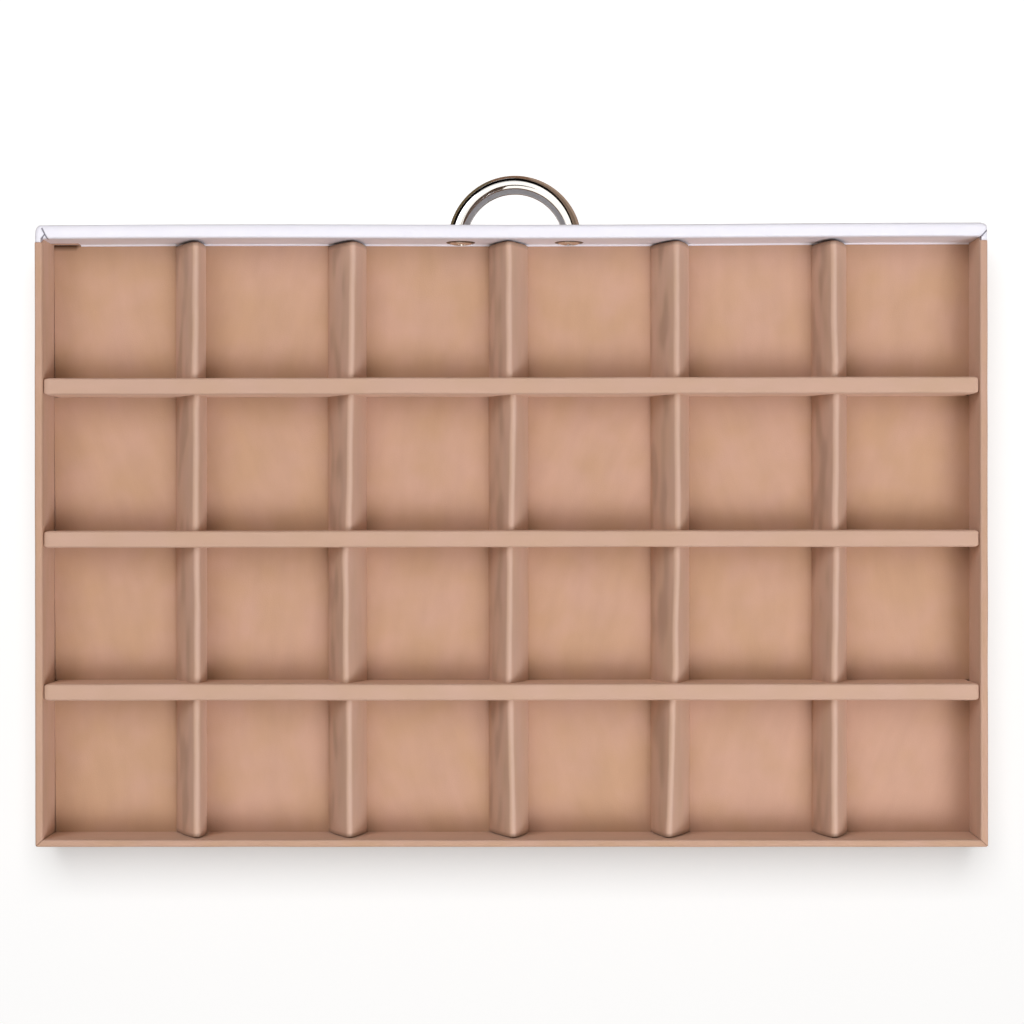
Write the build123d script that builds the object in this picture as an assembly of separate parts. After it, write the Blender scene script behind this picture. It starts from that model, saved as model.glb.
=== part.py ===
from build123d import *
import math
import os

os.makedirs("parts", exist_ok=True)

# Ring display tray: a shallow lined drawer of 24 compartments with a leatherette front and a bow handle.
# The front faces -Y, +X is to the right of whoever faces it, and +Z is up.
# The origin is the centre of the tray's underside, counted without the handle. All sizes are in mm.

# Outside of the tray, without its handle
body_length = 320.0
body_depth = 209.2
inner_height = 18.0

# Layers under the compartments
cover_thickness = 0.8
cover_inset = 0.5
base_thickness = 3.2
card_thickness = 2.0

# Front: a fibreboard core wrapped in leatherette
front_thickness = 4.7
leatherette_thickness = 0.6
front_top_radius = 1.2
front_corner_radius = 1.6
fold_thickness = 1.2
flap_lip_depth = 0.5
flap_lip_height = 0.8
flap_lip_gap = 0.1

# Side and rear walls: thin boards wrapped in suede
side_wall_thickness = 2.6
rear_wall_thickness = 2.4
suede_thickness = 0.5
wall_top_radius = 0.6
rear_corner_radius = 0.9
return_length = 9.4
return_height = 5.0
return_gap = 0.9

# Grid of compartments
rows = 4
end_row_extra = 1.0
row_divider_thickness = 5.7
row_divider_drop = 0.2
row_divider_top_radius = 0.9
row_divider_end_radius = 1.7
ridge_height = 14.5
ridge_radius = 1.4

# Foot width of each column of tents, and how far its ridge leans from the middle, from -X to +X
tent_foot_widths = [12.1, 13.4, 13.6, 13.4, 10.5]
ridge_leans = [0.0, -0.9, -0.75, -1.8, -3.7]

# The tents were laid by hand: how far each ridge wanders along X at its front and rear end,
# for the rows from the front to the rear and in each row from -X to +X
ridge_wander = [
    [(0.4, 0.0), (-0.5, -0.5), (0.5, 0.3), (-1.2, -0.5), (0.0, 0.3)],
    [(-0.4, 0.0), (-0.6, -0.8), (-0.9, -0.2), (-0.5, 0.3), (-0.3, 0.1)],
    [(-0.4, 0.3), (-0.5, 0.2), (0.3, 0.6), (1.3, 1.2), (-0.3, -0.3)],
    [(0.3, 0.3), (1.0, 2.2), (0.1, -0.7), (0.2, 0.1), (-0.2, -0.2)],
]

# Clearances of the pieces that drop in
card_clearance = 0.2
card_edge_bevel = 0.4
tent_side_clearance = 0.05
tent_end_clearance = 0.2
row_divider_clearance = 0.4
front_clearance = 0.6

# Bow handle and its fixings
rod_diameter = 6.4
bow_radius = 19.8
bow_centre_behind_face = 4.9
handle_offset = -1.5
handle_height = 12.2
screw_inboard = 0.73
screw_radius = 1.95
tapped_radius = 2.0
tapped_depth = 4.6
screw_reach = 4.1
screw_hole_radius = 2.2
washer_radius = 4.95
washer_thickness = 1.9
washer_proud = 0.4
washer_bore_radius = 2.15
washer_seat_clearance = 0.05
countersink_radius = 3.8
screw_head_clearance = 0.05
screw_head_rise = 0.6
screw_crown_radius = 2.2

# Levels and faces that follow from these sizes
columns = len(tent_foot_widths) + 1
half_length = body_length / 2
front_face_y = -body_depth / 2
rear_face_y = body_depth / 2
base_top = cover_thickness + base_thickness
floor_top = base_top + card_thickness
rim_top = floor_top + inner_height
inner_length = body_length - 2 * side_wall_thickness
inner_side_x = inner_length / 2
front_inner_y = front_face_y + front_thickness
rear_inner_y = rear_face_y - rear_wall_thickness
inner_depth = rear_inner_y - front_inner_y
side_wall_front_y = front_inner_y + fold_thickness
card_width = (inner_length - sum(tent_foot_widths)) / columns
middle_row_depth = (inner_depth - (rows - 1) * row_divider_thickness - 2 * end_row_extra) / rows
row_pitch = middle_row_depth + row_divider_thickness
leg_x = math.sqrt(bow_radius**2 - bow_centre_behind_face**2)
screw_xs = [handle_offset + side * (leg_x - screw_inboard) for side in (-1, 1)]


def block(x_low, x_high, y_low, y_high, z_low, z_high):
    """A plain box between two corners."""
    centre = ((x_low + x_high) / 2, (y_low + y_high) / 2, (z_low + z_high) / 2)
    return Pos(*centre) * Box(x_high - x_low, y_high - y_low, z_high - z_low)


def along_y(x, y, z):
    """A place on the front at which the local Z axis points into the tray, along +Y."""
    return Pos(x, y, z) * Rot(-90, 0, 0)


def row_span(row):
    """Low and high Y of a compartment row, counted from the front."""
    middle = (row - (rows - 1) / 2) * row_pitch
    low = middle - middle_row_depth / 2
    high = middle + middle_row_depth / 2
    centre = (front_inner_y + rear_inner_y) / 2
    front_extra = end_row_extra if row == 0 else 0.0
    rear_extra = end_row_extra if row == rows - 1 else 0.0
    return centre + low - front_extra, centre + high + rear_extra


def wall_thickness(side):
    """Thickness of a finished wall; side is 0 for the rear wall."""
    return rear_wall_thickness if side == 0 else side_wall_thickness


def column_start(column):
    """Low X of a compartment column, counted from -X."""
    return -inner_side_x + column * card_width + sum(tent_foot_widths[:column])


# Underside
def make_bottom_cover():
    """The lining sheet glued under the base and the walls."""
    outline = Rectangle(body_length - 2 * cover_inset, body_depth - 2 * cover_inset)
    outline = fillet(outline.vertices(), front_corner_radius)
    return extrude(outline, amount=cover_thickness)


def make_base_board():
    """The board that carries the cards and dividers, let in between the wall boards."""
    side_x = inner_side_x + suede_thickness
    front_y = front_inner_y - leatherette_thickness
    rear_y = rear_inner_y + suede_thickness
    return block(-side_x, side_x, front_y, rear_y, cover_thickness, base_top)


# Front
def front_block(inset):
    """The front's outline, drawn in by the given thickness on every side but the underside."""
    x_high = half_length - inset
    y_low = front_face_y + inset
    y_high = front_inner_y - inset
    solid = block(-x_high, x_high, y_low, y_high, cover_thickness, rim_top - inset)
    outer_edges = solid.edges().filter_by(Axis.Z).group_by(Axis.Y)[0]
    solid = fillet(outer_edges, front_corner_radius - inset)
    return fillet(solid.faces().sort_by(Axis.Z)[-1].edges(), front_top_radius - inset)


def screw_holes(radius, y_low, y_high):
    """One round cutter along Y at each handle screw."""
    length = y_high - y_low
    cutters = [along_y(x, (y_low + y_high) / 2, handle_height) * Cylinder(radius, length) for x in screw_xs]
    return Part() + cutters


def make_front_board():
    """The fibreboard core, drilled and counterbored from the inside for the handle's fixings."""
    seat_y = front_inner_y + washer_proud - washer_thickness
    board = front_block(leatherette_thickness)
    board = board - screw_holes(screw_hole_radius, front_face_y, front_inner_y)
    return board - screw_holes(washer_radius + washer_seat_clearance, seat_y, front_inner_y)


def suede_return():
    """The end of one wall's suede, turned round the corner onto the foot of the front."""
    z_low = floor_top + return_gap
    z_high = floor_top + return_height
    lap_y = front_inner_y - suede_thickness
    wall_x = inner_side_x + suede_thickness
    strip = block(inner_side_x - return_length, wall_x, lap_y, front_inner_y, z_low, z_high)
    bridge = block(inner_side_x, wall_x, lap_y, side_wall_front_y, z_low, z_high)
    return strip + bridge


def make_front_leatherette():
    """The white cover: outer face, ends and top in one piece, with a flap turned down inside."""
    cover = front_block(0.0)
    for side in (-1, 1):
        x_low, x_high = sorted((side * inner_side_x, side * half_length))
        cover += block(x_low, x_high, front_inner_y, side_wall_front_y, cover_thickness, rim_top)
    lip_y = front_inner_y + flap_lip_depth
    lip_low = floor_top + flap_lip_gap
    lip_end = inner_side_x - return_length
    cover += block(-inner_side_x, lip_end, front_inner_y, lip_y, lip_low, lip_low + flap_lip_height)
    cover -= front_block(leatherette_thickness)
    board_inner_y = front_inner_y - leatherette_thickness
    side_x = inner_side_x + suede_thickness
    cover -= block(-side_x, side_x, board_inner_y, side_wall_front_y, cover_thickness, base_top)
    cover -= block(lip_end, side_x, board_inner_y, front_inner_y, base_top, floor_top + return_height)
    cover -= suede_return()
    cover -= screw_holes(screw_hole_radius, front_face_y, board_inner_y)
    return cover - screw_holes(washer_radius + washer_seat_clearance, board_inner_y, side_wall_front_y)


# Walls
def wall_prism(side, outer_inset, inner_inset, z_low, z_high):
    """One mitred wall layer between two depths under its outer and its inner face.

    side is -1 for the wall at -X, 1 for the wall at +X and 0 for the rear wall.
    Every layer ends on the one mitre plane from the outer to the inner rear corner.
    """
    slope = rear_wall_thickness / side_wall_thickness
    depths = (outer_inset, wall_thickness(side) - inner_inset)
    if side == 0:
        ends = [(half_length - depth / slope, rear_face_y - depth) for depth in depths]
        corners = [ends[0], ends[1], (-ends[1][0], ends[1][1]), (-ends[0][0], ends[0][1])]
    else:
        ends = [(side * (half_length - depth), rear_face_y - depth * slope) for depth in depths]
        corners = [ends[0], ends[1], (ends[1][0], side_wall_front_y), (ends[0][0], side_wall_front_y)]
    outline = make_face(Polyline(*corners, close=True))
    return extrude(Pos(0, 0, z_low) * outline, amount=z_high - z_low, dir=(0, 0, 1))


def rounded_outline(inset):
    """The tray's outline in plan, with its rear corners rounded, as a tall cutter."""
    x_high = half_length - inset
    y_high = rear_face_y - inset
    solid = block(-x_high, x_high, front_face_y, y_high, 0.0, rim_top)
    corner_edges = solid.edges().filter_by(Axis.Z).group_by(Axis.Y)[-1]
    return fillet(corner_edges, rear_corner_radius - inset)


def make_wall_board(side):
    """The bare board inside a wall."""
    prism = wall_prism(side, suede_thickness, suede_thickness, cover_thickness, rim_top - suede_thickness)
    return prism & rounded_outline(suede_thickness)


def make_wall_suede(side):
    """The suede over a wall: outer face, rim and inner face, mitred at the rear corner."""
    skin = wall_prism(side, 0.0, 0.0, cover_thickness, rim_top)
    run = Axis.X if side == 0 else Axis.Y
    skin = fillet(skin.edges().filter_by(run).group_by(Axis.Z)[-1], wall_top_radius)
    skin = skin & rounded_outline(0.0)
    skin -= make_wall_board(side)
    skin -= wall_prism(side, wall_thickness(side) / 2, 0.0, cover_thickness, base_top)
    if side == 1:
        skin += suede_return()
    return skin


# Dividers
def make_row_divider(index):
    """A suede-wrapped strip that runs from wall to wall, with a flat top and soft edges."""
    low = row_span(index)[1]
    high = row_span(index + 1)[0]
    x_high = inner_side_x - row_divider_clearance
    strip = block(-x_high, x_high, low, high, base_top, rim_top - row_divider_drop)
    strip = fillet(strip.edges().filter_by(Axis.Z), row_divider_end_radius)
    return fillet(strip.faces().sort_by(Axis.Z)[-1].edges(), row_divider_top_radius)


def ridge_touch(foot_x, ridge_x):
    """Where the straight flank from a foot runs into the ridge's rounding."""
    rise = ridge_height - ridge_radius
    run = ridge_x - foot_x
    distance = math.hypot(run, rise)
    slope = math.atan2(rise, run) + math.copysign(math.asin(ridge_radius / distance), run)
    reach = math.sqrt(distance**2 - ridge_radius**2)
    return foot_x + reach * math.cos(slope), floor_top + reach * math.sin(slope)


def tent_profile(foot_low, foot_high, ridge_x, y):
    """Cross-section of a tent: straight toes beside the cards, sloping flanks and a round ridge."""
    touch_low = ridge_touch(foot_low, ridge_x)
    touch_high = ridge_touch(foot_high, ridge_x)
    outline = Polyline((foot_low, base_top), (foot_low, floor_top), touch_low)
    outline += ThreePointArc(touch_low, (ridge_x, floor_top + ridge_height), touch_high)
    outline += Polyline(touch_high, (foot_high, floor_top), (foot_high, base_top), (foot_low, base_top))
    return Plane(origin=(0, y, 0), x_dir=(1, 0, 0), z_dir=(0, -1, 0)) * make_face(outline)


def make_tent(row, column):
    """A column divider: one wrapped tent between two row dividers, its ridge slightly off line."""
    span_low, span_high = row_span(row)
    y_low = span_low + (front_clearance if row == 0 else tent_end_clearance)
    y_high = span_high - tent_end_clearance
    foot_low = column_start(column) + card_width + tent_side_clearance
    foot_high = column_start(column + 1) - tent_side_clearance
    ridge = (foot_low + foot_high) / 2 + ridge_leans[column]
    front_shift, rear_shift = ridge_wander[row][column]
    front = tent_profile(foot_low, foot_high, ridge + front_shift, y_low)
    rear = tent_profile(foot_low, foot_high, ridge + rear_shift, y_high)
    return loft([front, rear], ruled=True)


def make_card(row, column):
    """The suede-wrapped card on the floor of one compartment."""
    low, high = row_span(row)
    start = column_start(column)
    xs = (start + card_clearance, start + card_width - card_clearance)
    ys = (low + card_clearance, high - card_clearance)
    card = block(*xs, *ys, base_top, floor_top)
    return chamfer(card.faces().sort_by(Axis.Z)[-1].edges(), card_edge_bevel)


# Handle
def make_handle_bow():
    """A round rod bent to an arc and cut flat against the front, with a tapped hole in each end."""
    reach = bow_radius + rod_diameter
    centre_y = front_face_y + bow_centre_behind_face
    ring = Pos(handle_offset, centre_y, handle_height) * Torus(bow_radius, rod_diameter / 2)
    sides = (handle_offset - reach, handle_offset + reach)
    in_front = block(*sides, front_face_y - reach, front_face_y, 0, rim_top)
    return (ring & in_front) - screw_holes(tapped_radius, front_face_y - tapped_depth, front_face_y)


def make_handle_washers():
    """Turned washers let into the inner side of the front, with a cone for the screw's head."""
    cone_depth = countersink_radius - washer_bore_radius
    profile = [
        (washer_bore_radius, 0),
        (washer_radius, 0),
        (washer_radius, washer_thickness),
        (countersink_radius, washer_thickness),
        (washer_bore_radius, washer_thickness - cone_depth),
    ]
    section = Plane.XZ * make_face(Polyline(*profile, close=True))
    washer = revolve(section, axis=Axis.Z)
    seat_y = front_inner_y + washer_proud - washer_thickness
    return Part() + [along_y(x, seat_y, handle_height) * washer for x in screw_xs]


def make_handle_screws():
    """Raised countersunk screws, through the front into the bow's ends."""
    head_radius = countersink_radius - screw_head_clearance
    head_y = front_inner_y + washer_proud
    length = head_y - front_face_y + screw_reach
    cone_depth = head_radius - screw_radius
    shank = [(0, -length), (screw_radius, -length), (screw_radius, -cone_depth)]
    crown = [(head_radius, 0), (screw_crown_radius, screw_head_rise), (0, screw_head_rise)]
    section = Plane.XZ * make_face(Polyline(*shank, *crown, close=True))
    screw = revolve(section, axis=Axis.Z)
    return Part() + [along_y(x, head_y, handle_height) * screw for x in screw_xs]


# Every piece under its own name
pieces = {
    "bottom_cover": make_bottom_cover(),
    "base_board": make_base_board(),
    "front_board": make_front_board(),
    "front_leatherette": make_front_leatherette(),
    "handle_bow": make_handle_bow(),
    "handle_washers": make_handle_washers(),
    "handle_screws": make_handle_screws(),
}
for wall_name, wall_side in (("left_wall", -1), ("right_wall", 1), ("rear_wall", 0)):
    pieces[f"{wall_name}_board"] = make_wall_board(wall_side)
    pieces[f"{wall_name}_suede"] = make_wall_suede(wall_side)
for index in range(rows - 1):
    pieces[f"row_divider_{index + 1}"] = make_row_divider(index)
for row in range(rows):
    for column in range(columns - 1):
        pieces[f"column_divider_r{row + 1}_c{column + 1}"] = make_tent(row, column)
    for column in range(columns):
        pieces[f"floor_card_r{row + 1}_c{column + 1}"] = make_card(row, column)

for name, piece in pieces.items():
    export_step(piece, f"parts/{name}.step")
print(len(pieces), "pieces written")
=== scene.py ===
"""Dresses the ring display tray: brushed suede over cards and boards, a leatherette front and a bow handle.

Every place comes from the frame. Lengths are in metres; MM turns those that a maker writes in millimetres.
"""

import logging
import math
import random
from collections.abc import Callable
from dataclasses import dataclass, field
from enum import Enum

import bmesh
import bpy
from bpy.types import Collection, Material, Mesh, Node, NodeSocket, NodeTree, Object
from mathutils import Matrix, Vector, noise


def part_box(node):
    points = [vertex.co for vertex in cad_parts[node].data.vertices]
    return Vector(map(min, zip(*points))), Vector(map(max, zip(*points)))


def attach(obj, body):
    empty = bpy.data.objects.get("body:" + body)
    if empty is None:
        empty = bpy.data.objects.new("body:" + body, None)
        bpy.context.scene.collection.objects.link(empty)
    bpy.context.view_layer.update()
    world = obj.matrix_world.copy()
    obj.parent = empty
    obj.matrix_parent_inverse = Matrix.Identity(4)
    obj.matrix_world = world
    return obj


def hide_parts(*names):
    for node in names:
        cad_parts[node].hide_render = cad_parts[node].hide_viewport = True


Pair = tuple[float, float]
Triple = tuple[float, float, float]
Radii = tuple[Pair, Pair, Pair]
Key = tuple[int, int, int]
# What a skin is told of a point: its place, its nap, its wear and painted sheen, and its painted shade and
# stains
Told = tuple[Vector, Vector, float, float]

MM = 0.001
BODY = "root"
# Steps on each rounding, steps round a turned piece, and the bend in degrees that shading keeps sharp
ARC_STEPS = 4
LATHE_STEPS = 72
SHARP_ANGLE = 50.0
log = logging.getLogger("ring_tray")

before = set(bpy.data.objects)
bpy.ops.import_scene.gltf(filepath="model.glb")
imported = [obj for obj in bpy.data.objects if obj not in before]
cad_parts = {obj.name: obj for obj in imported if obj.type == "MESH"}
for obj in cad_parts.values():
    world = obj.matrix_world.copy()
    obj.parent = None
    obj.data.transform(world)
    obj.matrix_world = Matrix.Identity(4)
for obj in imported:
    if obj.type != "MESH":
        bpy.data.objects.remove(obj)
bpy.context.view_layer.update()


# Colours and shader nodes
# With this setting a Mix node takes its colours at 6 and 7, and gives their mix at 2.
COLOURS = {"data_type": "RGBA"}
TIMES_PLUS = {"operation": "MULTIPLY_ADD"}
LARGER = {"operation": "MAXIMUM"}


def linear(hex_code: str) -> tuple[float, float, float, float]:
    """Turn an sRGB colour to the linear one that a shader takes.

    Args:
        hex_code: The colour as six hex digits.

    Returns:
        Linear red, green and blue, and an alpha of 1.
    """
    channels = [int(hex_code[start : start + 2], 16) / 255 for start in (0, 2, 4)]
    red, green, blue = [c / 12.92 if c <= 0.04045 else ((c + 0.055) / 1.055) ** 2.4 for c in channels]
    return red, green, blue, 1.0


def add_node(
    tree: NodeTree,
    kind: str,
    inputs: dict[str | int, object] | None = None,
    settings: dict[str, object] | None = None,
) -> Node:
    """Add a shader node, set it and link it.

    Args:
        tree: The tree that takes the node.
        kind: The node's type name, without its first word.
        inputs: For each input socket, a value, or the output socket or the node to link to it.
        settings: Values of the node's own properties.

    Returns:
        The new node.
    """
    node = tree.nodes.new(f"ShaderNode{kind}")
    for name, value in (settings or {}).items():
        setattr(node, name, value)
    for key, value in (inputs or {}).items():
        if isinstance(value, Node):
            value = value.outputs[0]
        if isinstance(value, NodeSocket):
            tree.links.new(value, node.inputs[key])
        else:
            node.inputs[key].default_value = value
    return node


def empty_material(name: str) -> tuple[Material, NodeTree]:
    """Start a material with an empty tree.

    Args:
        name: The material's name.

    Returns:
        The material and its tree.
    """
    material = bpy.data.materials.new(name)
    material.use_nodes = True
    material.node_tree.nodes.clear()
    return material, material.node_tree


def close_material(tree: NodeTree, shader: Node) -> None:
    """Link a shader to the output of its tree."""
    add_node(tree, "OutputMaterial", {"Surface": shader})


class Attribute(Enum):
    """What each point of a wrapped piece tells its finish."""

    NAP = "nap"
    TONE = "tone"
    # Wear, and painted sheen and highlight on the suede; on turned metal, the distance from the axis
    WORN = "worn"
    # Painted shade in folds, seams, cracks and open ends, and stains on the suede
    CREASE = "crease"


def read_attribute(tree: NodeTree, attribute: Attribute, output: str = "Fac") -> NodeSocket:
    """Add the node that reads one of the points' attributes, and give its output."""
    return add_node(tree, "Attribute", settings={"attribute_name": attribute.value}).outputs[output]


# Finishes
@dataclass(frozen=True)
class BrushedMicrosuede:
    """Polyester microsuede, sanded to a dense nap and smoothed by hand as it was glued over card and board.

    The nap lies in slightly different directions, so it clouds between rose and ochre in soft strokes.
    """

    rose: str = "c8a18b"
    ochre: str = "c39d80"
    # Pale colour for wear and for painted sheen and highlight on tops, ridges and flanks
    wear_sheen_colour: str = "d9bcab"
    # Dark brown for stains and for painted shade in cracks, seams and open ends
    shade_stain_colour: str = "46260f"
    sheen_tint: str = "dcbfab"
    cloud_size: float = 16 * MM
    stroke_length: float = 18 * MM
    stroke_width: float = 6 * MM
    fibre_size: float = 0.4 * MM

    def build(self) -> Material:
        """Make the material."""
        material, tree = empty_material("brushed_microsuede")
        nap = read_attribute(tree, Attribute.NAP, "Vector")
        tone = read_attribute(tree, Attribute.TONE)
        worn = read_attribute(tree, Attribute.WORN)
        crease = read_attribute(tree, Attribute.CREASE)
        cloud = add_node(tree, "TexNoise", {"Vector": nap, "Scale": 1 / self.cloud_size, "Detail": 2.0})
        along = (1 / self.stroke_length, 1 / self.stroke_width, 1 / self.stroke_width)
        combed = add_node(tree, "Mapping", {"Vector": nap, "Scale": along})
        stroke = add_node(tree, "TexNoise", {"Vector": combed, "Scale": 1.0, "Detail": 3.0})
        fibre = add_node(tree, "TexNoise", {"Vector": nap, "Scale": 1 / self.fibre_size, "Detail": 2.0})
        leaning = add_node(tree, "Math", {0: tone, 1: 0.1, 2: cloud}, TIMES_PLUS)
        hue = add_node(tree, "MapRange", {"Value": leaning, "From Min": 0.32, "From Max": 0.68})
        dyed = add_node(tree, "Mix", {0: hue, 6: linear(self.ochre), 7: linear(self.rose)}, COLOURS)
        lit_stroke = add_node(tree, "Math", {0: stroke, 1: 0.14, 2: 0.89}, TIMES_PLUS)
        brightness = add_node(tree, "Math", {0: fibre, 1: 0.08, 2: lit_stroke}, TIMES_PLUS)
        stroked = add_node(tree, "HueSaturation", {"Value": brightness, "Color": dyed.outputs[2]})
        # Lightened by wear and painted sheen, then darkened by stains and painted shade
        wear_sheen_colour = add_node(tree, "Mix", {0: worn, 6: stroked, 7: linear(self.wear_sheen_colour)}, COLOURS)
        shade_stain_colour = add_node(tree, "Mix", {0: crease, 6: wear_sheen_colour.outputs[2], 7: linear(self.shade_stain_colour)}, COLOURS)
        pile = add_node(tree, "Math", {0: fibre, 1: stroke})
        relief = add_node(tree, "Bump", {"Height": pile, "Strength": 0.5, "Distance": 0.12 * MM})
        surface = {
            "Base Color": shade_stain_colour.outputs[2],
            "Roughness": 0.92,
            "Specular IOR Level": 0.2,
            "Sheen Weight": 0.7,
            "Sheen Roughness": 0.45,
            "Sheen Tint": linear(self.sheen_tint),
            "Normal": relief,
        }
        close_material(tree, add_node(tree, "BsdfPrincipled", surface))
        return material


@dataclass(frozen=True)
class EmbossedLeatherette:
    """White PU leatherette on a woven back, with a fine pebble grain rolled in and a satin top coat.

    The grain softens every highlight, and folds creased sharp get a thin grey line of painted shade.
    """

    coat: str = "f8f8ff"
    cool: str = "f2f2fd"
    # Grey of the painted shade along the folds
    folded: str = "3f3b52"
    pebble_size: float = 0.75 * MM
    mottle_size: float = 7 * MM

    def build(self) -> Material:
        """Make the material."""
        material, tree = empty_material("embossed_leatherette")
        place = add_node(tree, "TexCoord").outputs["Object"]
        crease = read_attribute(tree, Attribute.CREASE)
        mottle = add_node(tree, "TexNoise", {"Vector": place, "Scale": 1 / self.mottle_size, "Detail": 3.0})
        grain = {"Vector": place, "Scale": 1 / self.pebble_size, "Smoothness": 0.6}
        pebble = add_node(tree, "TexVoronoi", grain, {"feature": "SMOOTH_F1"})
        coat = add_node(tree, "Mix", {0: mottle, 6: linear(self.coat), 7: linear(self.cool)}, COLOURS)
        # Painted shade along the folds
        folded = add_node(tree, "Mix", {0: crease, 6: coat.outputs[2], 7: linear(self.folded)}, COLOURS)
        gloss = add_node(tree, "MapRange", {"Value": mottle, "To Min": 0.36, "To Max": 0.5})
        depth = {"Height": pebble, "Strength": 0.35, "Distance": 0.1 * MM}
        relief = add_node(tree, "Bump", depth, {"invert": True})
        surface = {"Base Color": folded.outputs[2], "Roughness": gloss, "Normal": relief}
        close_material(tree, add_node(tree, "BsdfPrincipled", surface))
        return material


@dataclass(frozen=True)
class PolishedMetal:
    """A plated or turned metal, buffed last: mirror bands, and fine marks that soften them."""

    name: str
    base: str
    marked: str
    smoothest: float
    roughest: float
    mark_size: float = 5 * MM
    hairline_size: float = 0.25 * MM
    relief_depth: float = 0.0

    def build(self) -> Material:
        """Make the material."""
        material, tree = empty_material(self.name)
        place = add_node(tree, "TexCoord").outputs["Object"]
        turned = read_attribute(tree, Attribute.WORN)
        marks = add_node(tree, "TexNoise", {"Vector": place, "Scale": 1 / self.mark_size, "Detail": 4.0})
        turning = {"W": turned, "Scale": 1 / self.hairline_size, "Detail": 2.0}
        hairlines = add_node(tree, "TexNoise", turning, {"noise_dimensions": "1D"})
        colour = add_node(tree, "Mix", {0: marks, 6: linear(self.base), 7: linear(self.marked)}, COLOURS)
        gloss = add_node(
            tree, "MapRange", {"Value": marks, "To Min": self.smoothest, "To Max": self.roughest}
        )
        relief = add_node(
            tree, "Bump", {"Height": hairlines, "Strength": 0.4, "Distance": self.relief_depth}
        )
        surface = {"Base Color": colour.outputs[2], "Metallic": 1.0, "Roughness": gloss, "Normal": relief}
        close_material(tree, add_node(tree, "BsdfPrincipled", surface))
        return material


@dataclass(frozen=True)
class PressedFibreboard:
    """Medium-density fibreboard, sawn and left raw: a flecked brown that only shows in the cracks."""

    pale: str = "b18a62"
    dark: str = "7d5a3c"
    fleck_size: float = 0.8 * MM

    def build(self) -> Material:
        """Make the material."""
        material, tree = empty_material("pressed_fibreboard")
        place = add_node(tree, "TexCoord").outputs["Object"]
        flecks = add_node(tree, "TexNoise", {"Vector": place, "Scale": 1 / self.fleck_size, "Detail": 6.0})
        colour = add_node(tree, "Mix", {0: flecks, 6: linear(self.dark), 7: linear(self.pale)}, COLOURS)
        relief = add_node(tree, "Bump", {"Height": flecks, "Strength": 0.5, "Distance": 0.1 * MM})
        surface = {"Base Color": colour.outputs[2], "Roughness": 0.85, "Normal": relief}
        close_material(tree, add_node(tree, "BsdfPrincipled", surface))
        return material


@dataclass(frozen=True)
class EmbossedLiningPaper:
    """Coated lining paper, rolled with a small leather pattern: a matt tan sheet under the tray."""

    ground: str = "a98367"
    raised: str = "b99376"
    pebble_size: float = 1.4 * MM

    def build(self) -> Material:
        """Make the material."""
        material, tree = empty_material("embossed_lining_paper")
        place = add_node(tree, "TexCoord").outputs["Object"]
        pebbles = add_node(tree, "TexVoronoi", {"Vector": place, "Scale": 1 / self.pebble_size})
        colour = add_node(tree, "Mix", {0: pebbles, 6: linear(self.raised), 7: linear(self.ground)}, COLOURS)
        depth = {"Height": pebbles, "Strength": 0.6, "Distance": 0.15 * MM}
        relief = add_node(tree, "Bump", depth, {"invert": True})
        surface = {"Base Color": colour.outputs[2], "Roughness": 0.7, "Normal": relief}
        close_material(tree, add_node(tree, "BsdfPrincipled", surface))
        return material


@dataclass(frozen=True)
class StudioSurface:
    """A matt surface of the studio. In what bounces off it, its colour can be a darker one."""

    name: str
    seen: str
    bounced: str
    glow: float = 0.0

    def build(self) -> Material:
        """Make the material."""
        material, tree = empty_material(self.name)
        path = add_node(tree, "LightPath").outputs
        mirrored = add_node(tree, "Math", {0: path["Is Glossy Ray"], 1: path["Is Transmission Ray"]}, LARGER)
        shown = add_node(tree, "Math", {0: path["Is Camera Ray"], 1: mirrored}, LARGER)
        colour = add_node(tree, "Mix", {0: shown, 6: linear(self.bounced), 7: linear(self.seen)}, COLOURS)
        matt = add_node(tree, "BsdfDiffuse", {"Color": colour.outputs[2]})
        level = add_node(tree, "Math", {0: shown, 1: self.glow}, {"operation": "MULTIPLY"})
        glow = add_node(tree, "Emission", {"Strength": level})
        close_material(tree, add_node(tree, "AddShader", {0: matt, 1: glow}))
        return material


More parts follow.
